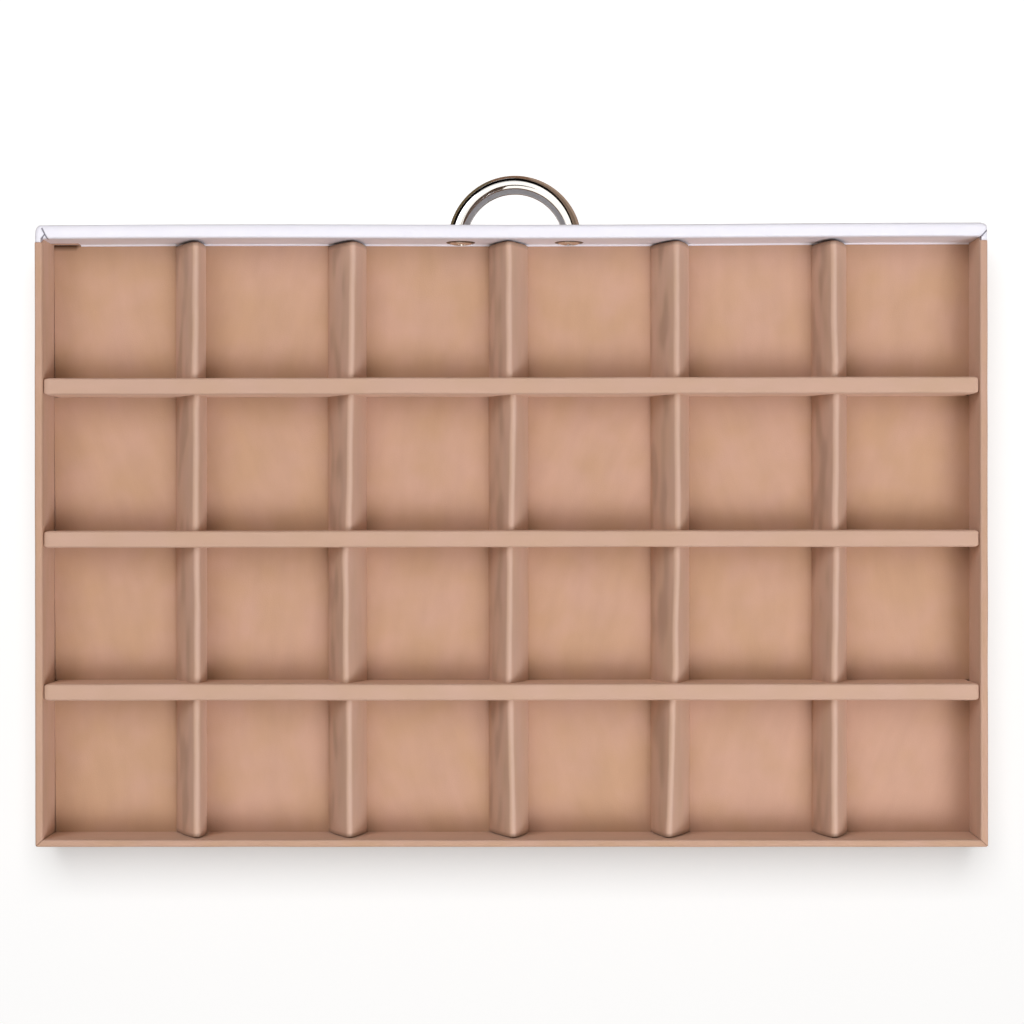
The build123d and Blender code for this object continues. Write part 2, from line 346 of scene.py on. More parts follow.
# Mesh building
@dataclass
class Skin:
    """The mesh of one piece while it is built, with what each point tells the finish."""

    points: list[Vector] = field(default_factory=list)
    faces: list[tuple[int, ...]] = field(default_factory=list)
    nap: list[Vector] = field(default_factory=list)
    worn: list[float] = field(default_factory=list)
    crease: list[float] = field(default_factory=list)

    def point(self, place: Vector, nap: Vector | None = None, worn: float = 0.0, crease: float = 0.0) -> int:
        """Add a point.

        Args:
            place: Where it is, in metres.
            nap: Where it is on the fabric, along the nap first; by default its place.
            worn: Its wear and painted sheen, from 0 to 1; on turned pieces, the distance from the axis.
            crease: How much painted shade in a fold, seam or crack, or a stain, darkens it, from 0 to 1.

        Returns:
            The point's number.
        """
        self.points.append(place)
        self.nap.append(nap or place)
        self.worn.append(worn)
        self.crease.append(crease)
        return len(self.points) - 1

    def bridge(self, rows: list[list[int]], closed: bool = False) -> None:
        """Fill the quads between neighbouring rows of points.

        Args:
            rows: Point numbers, as many in each row.
            closed: Whether each row is a ring.
        """
        count = len(rows[0])
        for near, far in zip(rows, rows[1:]):
            for start in range(count if closed else count - 1):
                end = (start + 1) % count
                self.faces.append((near[start], near[end], far[end], far[start]))

    def make(self, name: str, material: Material, node: str, tone: float = 0.0) -> Object:
        """Turn the collected points and faces to a piece that stands for a CAD node.

        Args:
            name: The piece's name.
            material: Its finish.
            node: The CAD node that the piece replaces.
            tone: The fabric's hue, from -1 for ochre to 1 for rose.

        Returns:
            The piece.
        """
        mesh = bpy.data.meshes.new(name)
        mesh.from_pydata(self.points, [], self.faces)
        tones = [tone] * len(self.points)
        told = {Attribute.WORN: self.worn, Attribute.CREASE: self.crease, Attribute.TONE: tones}
        for attribute, values in told.items():
            mesh.attributes.new(attribute.value, "FLOAT", "POINT").data.foreach_set("value", values)
        nap = mesh.attributes.new(Attribute.NAP.value, "FLOAT_VECTOR", "POINT")
        nap.data.foreach_set("vector", [value for place in self.nap for value in place])
        turn_outwards(mesh)
        mesh.shade_smooth()
        mesh.set_sharp_from_angle(angle=math.radians(SHARP_ANGLE))
        mesh.materials.append(material)
        piece = add_object(name, mesh)
        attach(piece, BODY)
        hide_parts(node)
        log.info("%s: %d faces", name, len(mesh.polygons))
        return piece


def turn_outwards(mesh: Mesh) -> None:
    """Make every face of a mesh look outwards.

    Args:
        mesh: A closed mesh.
    """
    work = bmesh.new()
    work.from_mesh(mesh)
    bmesh.ops.recalc_face_normals(work, faces=work.faces)
    work.to_mesh(mesh)
    work.free()


def add_object(name: str, data: bpy.types.ID) -> Object:
    """Put a mesh, a lamp or a camera into the scene.

    Args:
        name: The object's name.
        data: What it shows.

    Returns:
        The object.
    """
    item = bpy.data.objects.new(name, data)
    bpy.context.scene.collection.objects.link(item)
    return item


def smooth_step(low: float, high: float, value: float) -> float:
    """Rise smoothly from 0 at low to 1 at high."""
    share = min(1.0, max(0.0, (value - low) / (high - low)))
    return share * share * (3 - 2 * share)


def wander(seed: float, along: float, size: float) -> float:
    """Give a smooth random value from about -1 to 1, for a distance along one curve and its typical wave."""
    return noise.noise(Vector((along / size, seed * 7.31 + 0.5, seed * 1.7)))


def spread(seed: int, steps: Triple) -> Vector:
    """Give each seed a place of its own in the noise."""
    return Vector([seed * step for step in steps])


def even(low: float, high: float, cell: float) -> list[float]:
    """Give evenly spaced places from low to high, about a cell apart."""
    count = max(1, round((high - low) / cell))
    return [low + (high - low) * step / count for step in range(count + 1)]


def stations(stops: list[float], cells: list[float]) -> list[float]:
    """Give places from the first stop to the last, with a cell of their own between each two stops."""
    spans = zip(stops, stops[1:], cells)
    return stops[:1] + [place for low, high, cell in spans for place in even(low, high, cell)[1:]]


def rounded_lines(low: float, high: float, radii: Pair, cell: float) -> list[float]:
    """Give the grid lines along one side of a rounded slab, close together on its roundings.

    Args:
        low: Where the side starts.
        high: Where it ends.
        radii: The roundings at its start and its end.
        cell: The spacing between the roundings.

    Returns:
        The lines' places.
    """
    shares = [1 - math.tan(math.pi / 4 * (1 - step / ARC_STEPS)) for step in range(ARC_STEPS + 1)]
    start = [low + radii[0] * share for share in shares]
    end = [high - radii[1] * share for share in reversed(shares)]
    return start[:-1] + even(start[-1], end[0], cell) + end[1:]


def soften(place: Vector, low: Vector, high: Vector, radii: Radii) -> tuple[Vector, float]:
    """Move a point of a box's surface onto the same box with rounded edges.

    Args:
        place: The point.
        low: The box's lowest corner.
        high: The box's highest corner.
        radii: For each axis, how far a rounding reaches in from the low and from the high side.

    Returns:
        The point's new place, and how far round an edge it is, from 0 on a flat to 1 halfway round.
    """
    core = Vector()
    offset = Vector()
    for axis in range(3):
        near, far = low[axis] + radii[axis][0], high[axis] - radii[axis][1]
        core[axis] = min(max(place[axis], near), far)
        reach = radii[axis][0] if place[axis] < core[axis] else radii[axis][1]
        offset[axis] = (place[axis] - core[axis]) / reach
    size = offset.length
    if size < 1e-9:
        return place.copy(), 0.0
    offset /= size
    edge = sorted(abs(value) for value in offset)
    for axis in range(3):
        reach = radii[axis][0] if offset[axis] < 0 else radii[axis][1]
        core[axis] += offset[axis] * reach
    return core, min(1.0, 2 * edge[1] * edge[2])


def surface_quads(counts: Key) -> list[tuple[int, int, list[Key]]]:
    """List the quads on the surface of a grid of points.

    Args:
        counts: How many points there are along each axis.

    Returns:
        For each quad, its axis, its end along that axis, and its corners' keys.
    """
    quads = []
    for axis in range(3):
        side, other = (axis + 1) % 3, (axis + 2) % 3
        for end in (0, counts[axis] - 1):
            for a in range(counts[side] - 1):
                for b in range(counts[other] - 1):
                    corners = []
                    for step_a, step_b in ((0, 0), (1, 0), (1, 1), (0, 1)):
                        key = [0, 0, 0]
                        key[axis], key[side], key[other] = end, a + step_a, b + step_b
                        corners.append(tuple(key))
                    quads.append((axis, end, corners))
    return quads


def add_slab(
    skin: Skin,
    low: Vector,
    high: Vector,
    radii: Radii,
    cells: Triple,
    shape: Callable[[Vector, float], Told],
) -> None:
    """Add a closed slab with rounded edges to a skin.

    Args:
        skin: The mesh that takes it.
        low: The slab's lowest corner.
        high: Its highest corner.
        radii: For each axis, how far the roundings of its low and high side reach in.
        cells: The grid's spacing along each axis between the roundings.
        shape: Turns a rounded place and its share of an edge to what the skin is told of that point.
    """
    lines = [rounded_lines(low[axis], high[axis], radii[axis], cells[axis]) for axis in range(3)]
    numbers: dict[Key, int] = {}
    for _, _, corners in surface_quads(tuple(len(line) for line in lines)):
        for key in corners:
            if key not in numbers:
                place = Vector([lines[axis][key[axis]] for axis in range(3)])
                numbers[key] = skin.point(*shape(*soften(place, low, high, radii)))
        skin.faces.append(tuple(numbers[key] for key in corners))


# The tray as the frame gives it
@dataclass(frozen=True)
class TrayPlan:
    """The sizes and places that several sub-assemblies share, read from the frame."""

    half_length: float
    front_face: float
    inner_front: float
    wall_front: float
    rear_face: float
    inner_side: float
    side_width: float
    rear_width: float
    foot: float
    base_top: float
    floor_top: float
    rim_top: float
    leatherette_thickness: float
    return_low: Vector
    return_high: Vector

    @classmethod
    def read(cls) -> "TrayPlan":
        """Read the plan from the CAD nodes' boxes."""
        cover_low, cover_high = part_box("front_leatherette")
        board_low, board_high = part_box("front_board")
        left_low, left_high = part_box("left_wall_suede")
        right_low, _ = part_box("right_wall_suede")
        rear_low, rear_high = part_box("rear_wall_suede")
        card_low, card_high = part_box("floor_card_r1_c1")
        thickness = board_low.y - cover_low.y
        inner_front, inner_side = board_high.y + thickness, -left_high.x
        past_wall = inner_side - 1 * MM
        places = [point.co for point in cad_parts["right_wall_suede"].data.vertices]
        heights = [place.z for place in places if place.x < past_wall]
        return cls(
            half_length=cover_high.x,
            front_face=cover_low.y,
            inner_front=inner_front,
            wall_front=left_low.y,
            rear_face=rear_high.y,
            inner_side=inner_side,
            side_width=left_high.x - left_low.x,
            rear_width=rear_high.y - rear_low.y,
            foot=left_low.z,
            base_top=card_low.z,
            floor_top=card_high.z,
            rim_top=left_high.z,
            leatherette_thickness=thickness,
            return_low=Vector((right_low.x, right_low.y, min(heights))),
            return_high=Vector((inner_side, inner_front, max(heights))),
        )


# Suede-wrapped cards and strips
@dataclass
class FloorCards:
    """The suede-wrapped cards that lie on the compartments' floors: crisp at the edges, barely crowned."""

    suede: Material
    plan: TrayPlan
    rows: int = 4
    columns: int = 6
    edge_radius: float = 0.25 * MM
    base_radius: float = 0.05 * MM
    swelling: Triple = (0.45 * MM, 0.35 * MM, 0.0)
    crack: Pair = (0.2 * MM, 0.5 * MM)
    crack_start: float = 0.6
    under_return_shade_reach: Pair = (0.15 * MM, 0.25 * MM)
    # Painted shade at the card's front and rear ends, and how far it reaches in
    card_end_shade: Pair = (0.1, 0.11)
    card_end_shade_reach: float = 7 * MM
    worn_edge: float = 0.35
    cell: float = 1.9 * MM
    crown: float = 0.1 * MM
    ripple: float = 0.09 * MM
    ripple_size: float = 13 * MM
    noise_steps: Triple = (0.71, 0.37, 0.0)
    hue_range: float = 0.8
    turn_range: float = 0.35
    ochre_card: str = "r4_c6"
    ochre_tone: float = -1.3
    seed: int = 11

    def build(self) -> None:
        """Make every card, each with its own nap direction and hue."""
        draw = random.Random(self.seed)
        for row in range(1, self.rows + 1):
            for column in range(1, self.columns + 1):
                name = f"r{row}_c{column}"
                tone = draw.uniform(-self.hue_range, self.hue_range)
                turn = draw.uniform(-self.turn_range, self.turn_range)
                tone = self.ochre_tone if name == self.ochre_card else tone
                self.card(name, tone, turn, row * 10 + column)

    def card(self, name: str, tone: float, turn: float, seed: int) -> None:
        """Make one card.

        Args:
            name: Its row and column.
            tone: Its hue.
            turn: The nap's angle to the depth of the tray, in radians.
            seed: The number that its ripples start from.
        """
        node = f"floor_card_{name}"
        low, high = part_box(node)
        low -= Vector(self.swelling)
        high += Vector(self.swelling)
        cracked = name.endswith(f"c{self.columns}")
        side = (self.edge_radius, self.edge_radius)
        middle = (low + high) / 2
        combing = Matrix.Rotation(math.pi / 2 + turn, 3, "Z")
        offset = spread(seed, self.noise_steps)

        def shape(place: Vector, edge: float) -> Told:
            """Crown and ripple the card, leave a crack beside the wall, and paint shade at its ends.

            Args:
                place: A place on the rounded slab.
                edge: Its share of an edge.

            Returns:
                The last place, the nap, the wear, and painted shade under the return and at the ends.
            """
            across = (place.x - middle.x) / (high.x - low.x) * 2
            along = (place.y - middle.y) / (high.y - low.y) * 2
            top = smooth_step(middle.z, high.z, place.z)
            lift = self.crown * (1 - across**2) * (1 - along**2)
            lift += self.ripple * noise.noise(place / self.ripple_size + offset)
            crack = self.crack[0] + (self.crack[1] - self.crack[0]) * (along + 1) / 2
            shrunk = crack * smooth_step(self.crack_start, 1.0, across) if cracked else 0.0
            # Painted shade where the card runs under the right wall's return
            under = 1 - smooth_step(*self.under_return_shade_reach, place.y - self.plan.return_high.y)
            dark = under if place.x > self.plan.return_low.x else 0.0
            # Painted shade along the card's front and rear ends
            for shade, to_edge in zip(self.card_end_shade, (place.y - low.y, high.y - place.y)):
                dark = max(dark, shade * (1 - smooth_step(0.0, self.card_end_shade_reach, to_edge)))
            moved = place + Vector((-shrunk, 0, top * lift))
            return moved, combing @ place + offset, self.worn_edge * edge, dark

        skin = Skin()
        radii = (side, side, (self.base_radius, self.edge_radius))
        add_slab(skin, low, high, radii, (self.cell, self.cell, self.cell), shape)
        skin.make(f"card_{name}", self.suede, node, tone)


@dataclass
class RowDividers:
    """The wrapped strips from wall to wall, slightly uneven where the suede was pulled round them."""

    suede: Material
    count: int = 3
    top_radius: float = 0.9 * MM
    end_radius: float = 2.1 * MM
    base_radius: float = 0.05 * MM
    # How much the top is lightened, as wear and painted sheen
    worn_top: float = 0.35
    cell: float = 2.2 * MM
    fine_cell: float = 0.8 * MM
    sway: float = 0.13 * MM
    sway_size: float = 30 * MM
    pulled_in: float = 0.3
    droop: float = 0.4
    droop_seed: int = 20
    tight_end: float = 8 * MM
    side_start: float = 0.9
    side_shift: float = 2 * MM
    tone: float = 0.25
    noise_steps: Triple = (0.53, 0.29, 0.0)

    def build(self) -> None:
        """Make every strip."""
        for index in range(1, self.count + 1):
            self.strip(index)

    def strip(self, index: int) -> None:
        """Make one strip.

        Args:
            index: Its number, from the front.
        """
        node = f"row_divider_{index}"
        low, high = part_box(node)
        middle = (low + high) / 2
        offset = spread(index, self.noise_steps)

        def shape(place: Vector, edge: float) -> Told:
            """Sway the strip's sides and top, and lighten its top with wear and painted sheen.

            Args:
                place: A place on the rounded slab.
                edge: Its share of an edge.

            Returns:
                The last place, the nap, the wear and sheen, and no shade.
            """
            side = (place.y - middle.y) / (high.y - low.y) * 2
            loose = smooth_step(0, self.tight_end, min(place.x - low.x, high.x - place.x))
            bulge = self.sway * wander(index + (0.5 if side > 0 else 0.0), place.x, self.sway_size)
            sagged = self.droop * self.sway * wander(index + self.droop_seed, place.x, self.sway_size)
            moved = Vector((0, side * (bulge - self.pulled_in * self.sway) * loose, sagged * loose))
            around = place.z if abs(side) > self.side_start else place.z + place.y - middle.y
            # The top lightened by wear and painted sheen
            worn = self.worn_top * max(edge, smooth_step(middle.z, high.z, place.z))
            return place + moved, Vector((place.x, around, side * self.side_shift)) + offset, worn, 0.0

        skin = Skin()
        end, top = self.end_radius, self.top_radius
        radii = ((end, end), (top, top), (self.base_radius, top))
        add_slab(skin, low, high, radii, (self.cell, self.fine_cell, self.cell), shape)
        skin.make(f"strip_{index}", self.suede, node, self.tone)


@dataclass(frozen=True)
class Section:
    """One cross-section of a tent, as places in X and Z."""

    foot_low: float
    foot_high: float
    ridge: float
    top: float
    floor: float
    base: float

    def outline(self, ridge_radius: float, swell: float) -> list[Pair]:
        """Draw the section from its low foot, over the ridge, to its high foot.

        Args:
            ridge_radius: The rounding of the ridge.
            swell: How far a flank stands proud of a straight one at mid height.

        Returns:
            The places, as many for every section, with the ridge in the middle.
        """
        centre = Vector((self.ridge, self.top - ridge_radius))
        halves = []
        for side, foot_x in ((-1, self.foot_low), (1, self.foot_high)):
            foot = Vector((foot_x, self.floor))
            run = centre - foot
            slope = math.atan2(run.y, run.x) - side * math.asin(ridge_radius / run.length)
            reach = math.sqrt(run.length_squared - ridge_radius**2)
            touch = foot + reach * Vector((math.cos(slope), math.sin(slope)))
            facing = slope - side * math.pi / 2
            half = [(foot_x, self.base), (foot_x, (self.base + self.floor) / 2)]
            half += [tuple(place) for place in self.flank(foot, touch, swell, side)]
            for step in range(1, ARC_STEPS):
                angle = facing + (math.pi / 2 - facing) * step / ARC_STEPS
                across, up = ridge_radius * math.cos(angle), ridge_radius * math.sin(angle)
                half.append((centre.x + across, centre.y + up))
            halves.append(half)
        return halves[0] + [(self.ridge, self.top)] + halves[1][::-1]

    def flank(self, foot: Vector, touch: Vector, swell: float, side: int) -> list[Vector]:
        """Draw one flank from its foot to the ridge's rounding, swelling outwards between them.

        Args:
            foot: Its foot.
            touch: Where the ridge's rounding starts.
            swell: How far it stands proud at mid height.
            side: The side of X that it faces, -1 or 1.

        Returns:
            The places, from the foot up.
        """
        steps, fullness = 14, 0.8
        rise = touch - foot
        outwards = Vector((side * rise.y, -side * rise.x)).normalized()
        shares = [step / steps for step in range(steps + 1)]
        return [foot + rise * s + outwards * swell * math.sin(math.pi * s) ** fullness for s in shares]


@dataclass
class ColumnDividers:
    """The tents: card folded to a ridge and wrapped, set between the strips, each a little out of line."""

    suede: Material
    plan: TrayPlan
    rows: int = 4
    columns: int = 5
    ridge_radius: float = 1.4 * MM
    crest_depth: float = 0.5 * MM
    swell: float = 0.6 * MM
    end_rounding: float = 0.3 * MM
    cell: float = 1.3 * MM
    dent: float = 0.3 * MM
    dent_size: float = 11 * MM
    dent_top: float = 1.2
    firm_toe: float = 0.25
    tuck: float = 0.6
    tuck_fall: float = 0.6
    tight_end: float = 6 * MM
    ridge_sway: float = 0.25 * MM
    sway_start: float = 0.5
    sway_size: float = 16 * MM
    # A painted highlight along each ridge, partly wear, set off towards the key lamp's side
    ridge_highlight_width: float = 1.15 * MM
    ridge_wear_and_highlight: float = 0.6
    highlight_shift: float = 0.45 * MM
    pulled: float = 2.6
    overlap: float = 0.3 * MM
    open_end_shade: float = 0.9
    open_end_reach: Pair = (0.22 * MM, 0.4 * MM)
    # Painted sheen that lightens the flanks above their feet
    painted_sheen: float = 0.36
    painted_sheen_start: float = 0.2
    stain: float = 0.24
    stain_step: float = 3.7
    stain_length: float = 13 * MM
    stain_width: float = 4.4 * MM
    stain_edge: Pair = (-0.2, 0.5)
    stain_top: Pair = (0.7, 0.95)
    far_side_stain: float = 0.15
    noise_steps: Triple = (0.61, 0.43, 0.19)
    hue_range: float = 0.6
    seed: int = 5

    def build(self) -> None:
        """Make every tent."""
        draw = random.Random(self.seed)
        for row in range(1, self.rows + 1):
            for column in range(1, self.columns + 1):
                self.tent(row, column, draw.uniform(-self.hue_range, self.hue_range))

    def ends(self, node: str) -> tuple[Section, Section, float, float]:
        """Read the two end sections of a tent from its CAD node.

        Args:
            node: The node.

        Returns:
            The front and the rear section, and the Y of each.
        """
        low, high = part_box(node)
        places = [point.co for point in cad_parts[node].data.vertices]
        middle = (low.y + high.y) / 2
        sections = []
        for half in ([p for p in places if p.y < middle], [p for p in places if p.y > middle]):
            highest = max(p.z for p in half)
            crest = [p for p in half if p.z > highest - self.crest_depth]
            first, last = min(crest, key=lambda p: p.x), max(crest, key=lambda p: p.x)
            chord = Vector((last.x - first.x, last.z - first.z))
            sag = math.sqrt(self.ridge_radius**2 - chord.length_squared / 4)
            centre = Vector(((first.x + last.x) / 2, (first.z + last.z) / 2))
            centre += Vector((chord.y, -chord.x)).normalized() * sag
            top = centre.y + self.ridge_radius
            sections.append(Section(low.x, high.x, centre.x, top, self.plan.floor_top, low.z))
        return sections[0], sections[1], low.y, high.y

    def tent(self, row: int, column: int, tone: float) -> None:
        """Make one tent.

        Args:
            row: Its row, from the front.
            column: Its column, from the low X.
            tone: Its hue.
        """
        name = f"r{row}_c{column}"
        node = f"column_divider_{name}"
        seed = row * 10 + column
        front, rear, start, end = self.ends(node)
        open_start, open_end = row == 1, row == self.rows
        start -= 0.0 if open_start else self.overlap
        end += 0.0 if open_end else self.overlap
        near, far = (section.outline(self.ridge_radius, self.swell) for section in (front, rear))
        offset = spread(seed, self.noise_steps)
        floor, rise = self.plan.floor_top, front.top - self.plan.floor_top
        skin = Skin()
        rings = []
        for y in rounded_lines(start, end, (self.end_rounding, self.end_rounding), self.cell):
            share = (y - start) / (end - start)
            to_open = min(y - start if open_start else math.inf, end - y if open_end else math.inf)
            shade = self.open_end_shade * (1 - smooth_step(*self.open_end_reach, to_open))
            tuck = self.tuck * self.end_rounding * max(0.0, 1 - to_open / self.end_rounding) ** 2
            loose = smooth_step(0, self.tight_end, min(y - start, end - y))
            ring = []
            for (x, z), (far_x, far_z) in zip(near, far):
                ring.append(Vector((x + (far_x - x) * share, y, z + (far_z - z) * share)))
            steps = [0.0] + [(after - before).length for before, after in zip(ring, ring[1:])]
            around = [sum(steps[: index + 1]) for index in range(len(steps))]
            crest = around[len(around) // 2]
            numbers = []
            for spot, way in zip(ring, around):
                side = 1 if way > crest else -1
                height = max(0.0, spot.z - floor) / rise
                supple = smooth_step(0.0, self.firm_toe, height)
                bulge = self.dent * supple * (self.dent_top - height)
                bulge *= noise.noise(spot / self.dent_size + offset)
                swayed = smooth_step(self.sway_start, 1.0, height) * wander(seed, y, self.sway_size)
                across = side * (bulge - tuck) + self.ridge_sway * loose * swayed
                # Painted highlight along the ridge, partly wear, moved towards the key lamp
                ridge_wear_and_highlight = math.exp(-(((way - crest + self.highlight_shift) / self.ridge_highlight_width) ** 2))
                patch = (y / self.stain_length, way / self.stain_width, seed * self.stain_step)
                blotch = noise.noise(Vector(patch))
                stained = self.stain * smooth_step(*self.stain_edge, blotch)
                stained *= 1 - smooth_step(*self.stain_top, height)
                stained *= 1.0 if side > 0 else self.far_side_stain
                moved = spot + Vector((across, 0, -self.tuck_fall * tuck * supple))
                nap = Vector((y, way * self.pulled, 0)) + offset
                # Lighter by the ridge's highlight and by painted sheen on the flanks
                worn = max(self.ridge_wear_and_highlight * ridge_wear_and_highlight, self.painted_sheen * smooth_step(0.0, self.painted_sheen_start, height))
                numbers.append(skin.point(moved, nap, worn, max(shade, stained)))
            rings.append(numbers)
        skin.bridge(rings, closed=True)
        skin.faces += [tuple(rings[0]), tuple(reversed(rings[-1]))]
        skin.make(f"tent_{name}", self.suede, node, tone)


# Walls
class Wall(Enum):
    """The three suede-covered walls, with the side of X on which each stands."""

    LEFT = -1
    RIGHT = 1
    REAR = 0


@dataclass(frozen=True)
class ProfilePoint:
    """A point of a wall's section: depth behind the outer face, height, outward normal, and way round."""

    depth: float
    height: float
    normal: Pair
    around: float


@dataclass
class WallWraps:
    """The suede over the side and rear walls, glued round each board and mitred at the rear corners."""

    suede: Material
    plan: TrayPlan
    thickness: float = 0.5 * MM
    rim_radius: float = 0.75 * MM
    rim_steps: int = 6
    rim_cell: float = 0.3 * MM
    corner_radius: float = 0.9 * MM
    cell: float = 2.4 * MM
    end_steps: tuple[float, ...] = (0.0, 0.1, 0.22, 0.4, 0.7, 1.1, 1.8, 3.0)
    seam_depth: float = 0.16 * MM
    seam_width: float = 0.4 * MM
    seam_spread: float = 0.55
    seam_shade: float = 0.4
    butt_depth: float = 2.0 * MM
    butt_gap: float = 0.5 * MM
    # How much the rim tops are lightened, as wear and painted sheen
    worn_rim: float = 0.12
    # Painted sheen on each wall's inner face, stronger on some walls than others
    painted_sheen: tuple[tuple[Wall, float], ...] = ((Wall.LEFT, 0.45), (Wall.REAR, 0.4), (Wall.RIGHT, 0.1))
    hue: float = 0.1
    pulled: float = 2.6
    nap_step: float = 0.31
    tight_end: float = 9 * MM
    ripple: float = 0.1 * MM
    rim_ripple: float = 0.4
    rim_seed: int = 9
    ripple_size: float = 22 * MM
    return_radius: float = 0.15 * MM
    return_cells: Triple = (0.6 * MM, 0.3 * MM, 0.6 * MM)
    return_shade: float = 0.3
    return_wear: float = 0.2
    return_nap: float = 0.9

    def build(self) -> None:
        """Make the three wraps."""
        for wall in Wall:
            self.wrap(wall)

    def profile(self, width: float) -> list[ProfilePoint]:
        """Draw a wall's section from its outer foot, over the rim, to its inner foot.

        Args:
            width: The wall's finished thickness.

        Returns:
            The section's points.
        """
        radius, top = self.rim_radius, self.plan.rim_top
        turn = [math.pi / 2 * step / self.rim_steps for step in range(1, self.rim_steps + 1)]
        spine = [(0.0, z, (-1.0, 0.0)) for z in even(self.plan.foot, top - radius, self.cell)]
        for angle in turn:
            normal = (-math.cos(angle), math.sin(angle))
            spine.append((radius + radius * normal[0], top - radius + radius * normal[1], normal))
        spine += [(depth, top, (0.0, 1.0)) for depth in even(radius, width - radius, self.rim_cell)[1:]]
        for angle in turn:
            normal = (math.sin(angle), math.cos(angle))
            spine.append((width - radius + radius * normal[0], top - radius + radius * normal[1], normal))
        inner = even(self.plan.base_top, top - radius, self.cell)[:-1]
        spine += [(width, z, (1.0, 0.0)) for z in reversed(inner)]
        points, around = [], 0.0
        for index, (depth, height, normal) in enumerate(spine):
            if index:
                around += math.hypot(depth - spine[index - 1][0], height - spine[index - 1][1])
            points.append(ProfilePoint(depth, height, normal, around))
        return points

    def place(self, wall: Wall, depth: float, height: float, share: float, inset: float) -> Vector:
        """Find a place in a wall, between its mitred ends and inside the rounded rear corner.

        Args:
            wall: The wall.
            depth: The depth behind its outer face.
            height: The height.
            share: How far along it is, from 0 at the start to 1 at the end.
            inset: How far inside the outer surface the corner's rounding lies.

        Returns:
            The place.
        """
        plan = self.plan
        slope = plan.rear_width / plan.side_width
        if wall is Wall.REAR:
            end = plan.half_length - depth / slope
            spot = Vector((end * (2 * share - 1), plan.rear_face - depth, height))
        else:
            reach = plan.rear_face - depth * slope - plan.wall_front
            spot = Vector((wall.value * (plan.half_length - depth), plan.wall_front + reach * share, height))
        centre = Vector((plan.half_length - self.corner_radius, plan.rear_face - self.corner_radius))
        away = Vector((abs(spot.x) - centre.x, spot.y - centre.y))
        limit = self.corner_radius - inset
        if min(away) <= 0 or away.length <= limit:
            return spot
        away *= limit / away.length
        return Vector((math.copysign(centre.x + away.x, spot.x), centre.y + away.y, spot.z))

    def wrap(self, wall: Wall) -> None:
        """Make the suede of one wall.

        Args:
            wall: The wall.
        """
        plan = self.plan
        rear = wall is Wall.REAR
        length = 2 * plan.half_length if rear else plan.rear_face - plan.wall_front
        section = self.profile(plan.rear_width if rear else plan.side_width)
        fine = [step * MM for step in self.end_steps]
        runs = fine[:-1] + even(fine[-1], length - fine[-1], self.cell)
        runs += [length - step for step in reversed(fine[:-1])]
        skin = Skin()
        rows = [self.ring(skin, wall, section, run, length) for run in runs]
        skin.bridge(rows, closed=True)
        last = 2 * len(section) - 1
        for row in (rows[0], rows[-1]):
            for index in range(len(section) - 1):
                skin.faces.append((row[index], row[index + 1], row[last - index - 1], row[last - index]))
        if wall is Wall.RIGHT:
            self.add_return(skin)
        name = wall.name.lower()
        tone = -self.hue * wall.value
        piece = skin.make(f"{name}_wrap", self.suede, f"{name}_wall_suede", tone)

    def ring(
        self, skin: Skin, wall: Wall, section: list[ProfilePoint], run: float, length: float
    ) -> list[int]:
        """Add one ring of a wrap: the outer line of its section and, back along it, the inner line.

        Args:
            skin: The wrap's mesh.
            wall: The wall.
            section: The wall's section.
            run: How far along the wall the ring is.
            length: The wall's length.

        Returns:
            The ring's point numbers.
        """
        share = run / length
        to_end = min(run, length - run)
        to_mitre = to_end if wall is Wall.REAR else length - run
        seed = wall.value + 2
        sunk = self.seam_depth * max(0.0, 1 - to_mitre / self.seam_width) ** 2
        loose = smooth_step(0, self.tight_end, to_end)
        dark = self.seam_shade * math.exp(-((to_mitre / (self.seam_spread * self.seam_width)) ** 2))
        at_front = wall is not Wall.REAR and run == 0
        reach_forward = self.plan.wall_front - self.plan.inner_front if at_front else 0.0
        rim_start = self.plan.rim_top - self.rim_radius - self.butt_gap
        painted_sheen = dict(self.painted_sheen)[wall]
        outer, inner = [], []
        for p in section:
            below_rim = 1 - smooth_step(-self.butt_depth, 0.0, p.height - rim_start)
            forward = Vector((0, reach_forward * below_rim if p.normal[0] > 0 else 0.0, 0))
            raised = smooth_step(self.plan.foot, self.plan.rim_top, p.height)
            side_seed = seed + (3 if p.normal[0] > 0.5 else 0)
            swell = self.ripple * raised * loose * abs(p.normal[0])
            swell *= wander(side_seed, run, self.ripple_size)
            lift = self.rim_ripple * self.ripple * loose * abs(p.normal[1])
            lift *= wander(seed + self.rim_seed, run, self.ripple_size)
            nap = Vector((run, p.around * self.pulled, seed * self.nap_step))
            # Rim tops lightened by wear and painted sheen, inner faces by painted sheen
            worn = self.worn_rim * p.normal[1] + painted_sheen * max(0.0, p.normal[0])
            depth = p.depth + p.normal[0] * (swell - sunk)
            height = p.height + p.normal[1] * (lift - sunk)
            spot = self.place(wall, depth, height, share, 0.0) - forward
            outer.append(skin.point(spot, nap, worn, dark))
            depth = p.depth - p.normal[0] * self.thickness
            height = p.height - p.normal[1] * self.thickness
            back = self.place(wall, depth, height, share, self.thickness) - forward
            inner.append(skin.point(back, nap, 0.0, dark))
        return outer + inner[::-1]

    def add_return(self, skin: Skin) -> None:
        """Add the end of the right wall's suede that is turned round the corner onto the front's foot.

        Args:
            skin: The right wrap's mesh.
        """

        def shape(spot: Vector, edge: float) -> Told:
            """Keep the place, lighten its edges a little with wear and darken it with painted shade."""
            nap = Vector((spot.x, spot.z, self.return_nap))
            return spot, nap, self.return_wear * edge, self.return_shade

